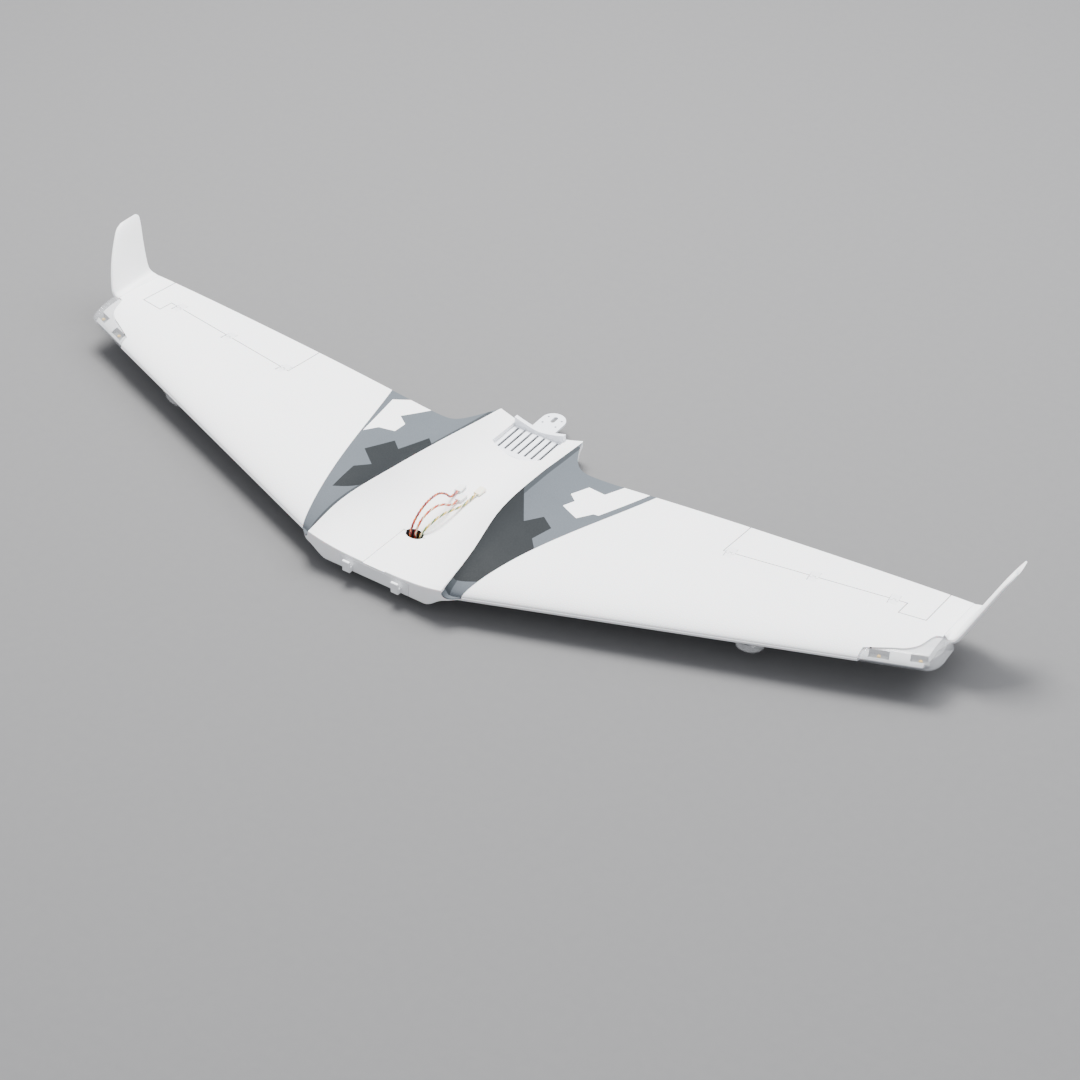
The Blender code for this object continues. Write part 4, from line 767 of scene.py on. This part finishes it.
def paint_flanks(bm):
    """Cut the outlines into the upper skin and give the faces inside them their finish."""
    other_crest_shade = tuple((-x, y) for x, y in CREST_SHADE_BAND)
    for outline in (PORT_WHITE, PORT_DARK, STARBOARD_WHITE, STARBOARD_DARK, CREST_SHADE_BAND, other_crest_shade):
        for first, second in zip(outline, outline[1:] + outline[:1]):
            a, b = Vector((*first, 0)), Vector((*second, 0))
            low = Vector((min(a.x, b.x), min(a.y, b.y))) - NEAR
            high = Vector((max(a.x, b.x), max(a.y, b.y))) + NEAR
            near = [face for face in bm.faces if faces_up(face) and near_line(face, low, high)]
            edges = {edge for face in near for edge in face.edges}
            verts = {vert for face in near for vert in face.verts}
            bmesh.ops.bisect_plane(bm, geom=near + list(edges) + list(verts), dist=1e-6, plane_co=a,
                                   plane_no=(b - a).cross(Vector((0, 0, 1))))
    for face in bm.faces:
        centre = face.calc_center_median()
        if faces_up(face) and abs(centre.x) > crest_x(centre.y) + CREST_TRIM:
            face.material_index = flank_finish(centre)


GROOVE_HALF, GROOVE_Y, OPEN_ABOVE = 0.0147, (-0.179, -0.103), 0.02
GROOVE_FLOOR = (0.0320, 0.0287)
HOLE_Y, HOLE_A, HOLE_B, HOLE_FLOOR = -0.1030, 0.0110, 0.0078, 0.0105
STRIP_SEAT = ((-0.0463, -0.180, 0.0137), (0.0463, -0.1745, 0.0303))
VENT_HALF, VENT_FRONT, VENT_BOW, VENT_SEAT = 0.0343, 0.0862, 0.0070, 0.0152
DUCT = ((-0.0290, 0.0905, 0.0060), (0.0290, 0.146, 0.0162))

skin = close_ends(shaped_grid(128, RING_ROWS, body_point))
bmesh.ops.recalc_face_normals(skin, faces=skin.faces)
paint_flanks(skin)
body = as_object("centre_body_foam", skin)
for finish in (white_foam, light_paint, dark_paint, crest_shade_paint, recess_shade_foam):
    body.data.materials.append(finish)
groove = [(-GROOVE_HALF, y, z) for y, z in zip(GROOVE_Y, GROOVE_FLOOR)]
groove += [(x, y, z + OPEN_ABOVE) for x, y, z in reversed(groove)]
carve(body, prism(groove, (2 * GROOVE_HALF, 0, 0)))
oval = [(HOLE_A * math.cos(k * math.pi / 24), HOLE_Y + HOLE_B * math.sin(k * math.pi / 24), HOLE_FLOOR)
        for k in range(48)]
carve(body, prism(oval, (0, 0, TALL)))
carve(body, box(*STRIP_SEAT))
vent_plan = [(VENT_HALF * (k / 8 - 1), VENT_FRONT + VENT_BOW * (k / 8 - 1) ** 2) for k in range(17)]
vent_plan += [(VENT_HALF, 0.16), (-VENT_HALF, 0.16)]
carve(body, prism([(x, y, VENT_SEAT) for x, y in vent_plan], (0, 0, TALL)))
carve(body, box(*DUCT))
settle(body)
# Faces inside the lead hole and the duct take the near-black foam as painted shade.
for face in body.data.polygons:
    x, y, z = face.center
    in_hole = math.hypot(x / HOLE_A, (y - HOLE_Y) / HOLE_B) < 1.02 and 0.0100 < z < 0.0275
    in_duct = abs(x) < 0.0292 and 0.0903 < y < 0.1465 and 0.0058 < z < 0.0153
    if in_hole or in_duct:
        face.material_index = 4
set_on(body, "airframe", "centre_body", crease=40)

# ---------------------------------------------------------------- tip lenses
# Clear vacuum-formed caps round each tip's leading edge, clipped over the stepped foam and lights.
clear = surface("clear_lens", (0.42, 0.43, 0.45), (0.38, 0.39, 0.41), 0.10, MOULDED, 0.00002, 0.1,
                rougher=0.04, Alpha=0.22, IOR=1.49, Specular_IOR_Level=0.7, Coat_Weight=0.5)
blister = surface("clear_blister", (0.92, 0.93, 0.94), (0.86, 0.87, 0.89), 0.08, MOULDED, 0.00002, 0.1,
                  rougher=0.04, Alpha=0.24, IOR=1.49, Specular_IOR_Level=0.8, Coat_Weight=0.6)
for name, side in (("port", 1), ("starboard", -1)):
    lens = as_object(f"{name}_lens_shell", shaped_grid(
        48, 64, lambda s, t: tip_shell_point(s, t, 0.0, LENS_X[0], LENS_X[1], -0.0015)), side)
    set_on(lens, "airframe", f"{name}_tip_lens", clear, crease=50)
    centre = Vector((side * 0.54, 0.0, 0.042))
    outward = sum((face.center - centre).dot(face.normal) for face in lens.data.polygons) > 0
    wall = lens.modifiers.new("wall", "SOLIDIFY")
    wall.thickness, wall.offset = 0.0010, -1 if outward else 1


# ---------------------------------------------------------------- servo blisters
# Thin clear covers glued under each wing over the servo, round at the front and open at the rear.
COVER_HALF, COVER_DEPTH, COVER_WALL = 0.0170, 0.0185, 0.0006
COVER_FRONT, COVER_LENGTH, COVER_SHIFT = 0.0170, 0.0480, 0.0020
FLANGE, FLANGE_SHARE, GLUE = 0.0050, 0.16, 0.0010


def cover_point(s, t):
    """Along the cover from its round front, and across it from flange to flange."""
    reach = math.sqrt(max(0.0, 1 - (1 - min(1.0, s / 0.5)) ** 2))
    half = COVER_HALF * (0.28 + 0.72 * reach)
    drop = COVER_DEPTH * (0.10 + 0.90 * reach ** 0.8) - COVER_WALL
    shift = 2 * t - 1
    if abs(shift) > 1 - FLANGE_SHARE:
        out = (abs(shift) - 1 + FLANGE_SHARE) / FLANGE_SHARE
        a, b = math.copysign(half + FLANGE * out, shift), 0.0
    else:
        angle = math.pi * (shift / (1 - FLANGE_SHARE) + 1) / 2
        a, b = -half * math.cos(angle), drop * max(0.0, math.sin(angle)) ** 0.55
    spot = SERVO @ Vector((a - COVER_SHIFT, COVER_LENGTH * s - COVER_FRONT, 0))
    spot.z = wing_skin(spot.x, spot.y, -1) - GLUE - (b if s > 0.001 else 0.0)
    return spot


for name, side in (("port", 1), ("starboard", -1)):
    cover = as_object(f"{name}_cover_shell", shaped_grid(48, 56, cover_point), side)
    set_on(cover, "airframe", f"{name}_servo_cover", blister, crease=50)
    downward = sum(face.normal.z for face in cover.data.polygons) < 0
    wall = cover.modifiers.new("wall", "SOLIDIFY")
    wall.thickness, wall.offset = COVER_WALL, 1 if downward else -1

# ---------------------------------------------------------------- moulded fittings
# Latch strip, vent frame, hinges, servo arms and horns in satin plastic and servos in dark plastic;
# screws and rods in steel, connectors in brass, spars in carbon, lamps in amber on their boards.
white_plastic = surface("plastic_white", (0.80, 0.81, 0.82), (0.74, 0.75, 0.77), 0.38, MOULDED,
                        0.00004, 0.25)
vent_plastic = surface("plastic_vent", (0.76, 0.78, 0.82), (0.69, 0.71, 0.76), 0.40, MOULDED,
                       0.00004, 0.25)
servo_plastic = surface("plastic_servo", (0.020, 0.030, 0.060), (0.012, 0.018, 0.040), 0.36, MOULDED,
                        0.00005, 0.3)
board = surface("light_board", (0.20, 0.21, 0.20), (0.13, 0.14, 0.13), 0.45, MOULDED, 0.00003, 0.2)
steel = surface("steel", (0.62, 0.62, 0.62), (0.52, 0.52, 0.53), 0.30, DRAWN, 0.00002, 0.2, metallic=1.0)
brass = surface("brass", (0.72, 0.56, 0.28), (0.60, 0.45, 0.21), 0.32, DRAWN, 0.00002, 0.2, metallic=1.0)
carbon = surface("carbon", (0.035, 0.035, 0.038), (0.018, 0.018, 0.020), 0.34, WEAVE, 0.00005, 0.4,
                 Coat_Weight=0.3)
amber = surface("lamp_amber", (0.95, 0.58, 0.02), (0.85, 0.46, 0.01), 0.22, MOULDED, 0.00002, 0.1,
                Coat_Weight=0.5)


def soften(node, width, segments=2):
    """Round a CAD node's edges, its loose triangles first joined."""
    weld = node.modifiers.new("weld", "WELD")
    weld.merge_threshold = 0.00001
    bevel = node.modifiers.new("edges", "BEVEL")
    bevel.width, bevel.segments, bevel.limit_method = width, segments, "ANGLE"
    bevel.angle_limit = math.radians(40)
    bevel.use_clamp_overlap = True


# part of a node's name, its finish and the width of its rounded edges; the first that fits is taken
FINISHES = (("hinge", white_plastic, 0.00012), ("servo_arm", white_plastic, 0.0002),
            ("control_horn", white_plastic, 0.0002), ("latch_strip", white_plastic, 0.0003),
            ("vent_frame", vent_plastic, 0.0002), ("plug", None, 0.00025), ("arm_screw", steel, 0.0001),
            ("set_screw", steel, 0.00008), ("pushrod", steel, 0), ("connector", brass, 0.00015),
            ("spar", carbon, 0), ("light_board", board, 0.0001), ("_light", amber, 0.0002),
            ("_servo", servo_plastic, 0.0003))
for node_name, node in NODES.items():
    if node_name.endswith(("_wing", "_elevon", "_winglet", "_lens", "_cover", "_lead", "centre_body")):
        continue
    finish, width = next(row[1:] for row in FINISHES if row[0] in node_name)
    if finish:
        node.data.materials.clear()
        node.data.materials.append(finish)
    if width:
        soften(node, width)
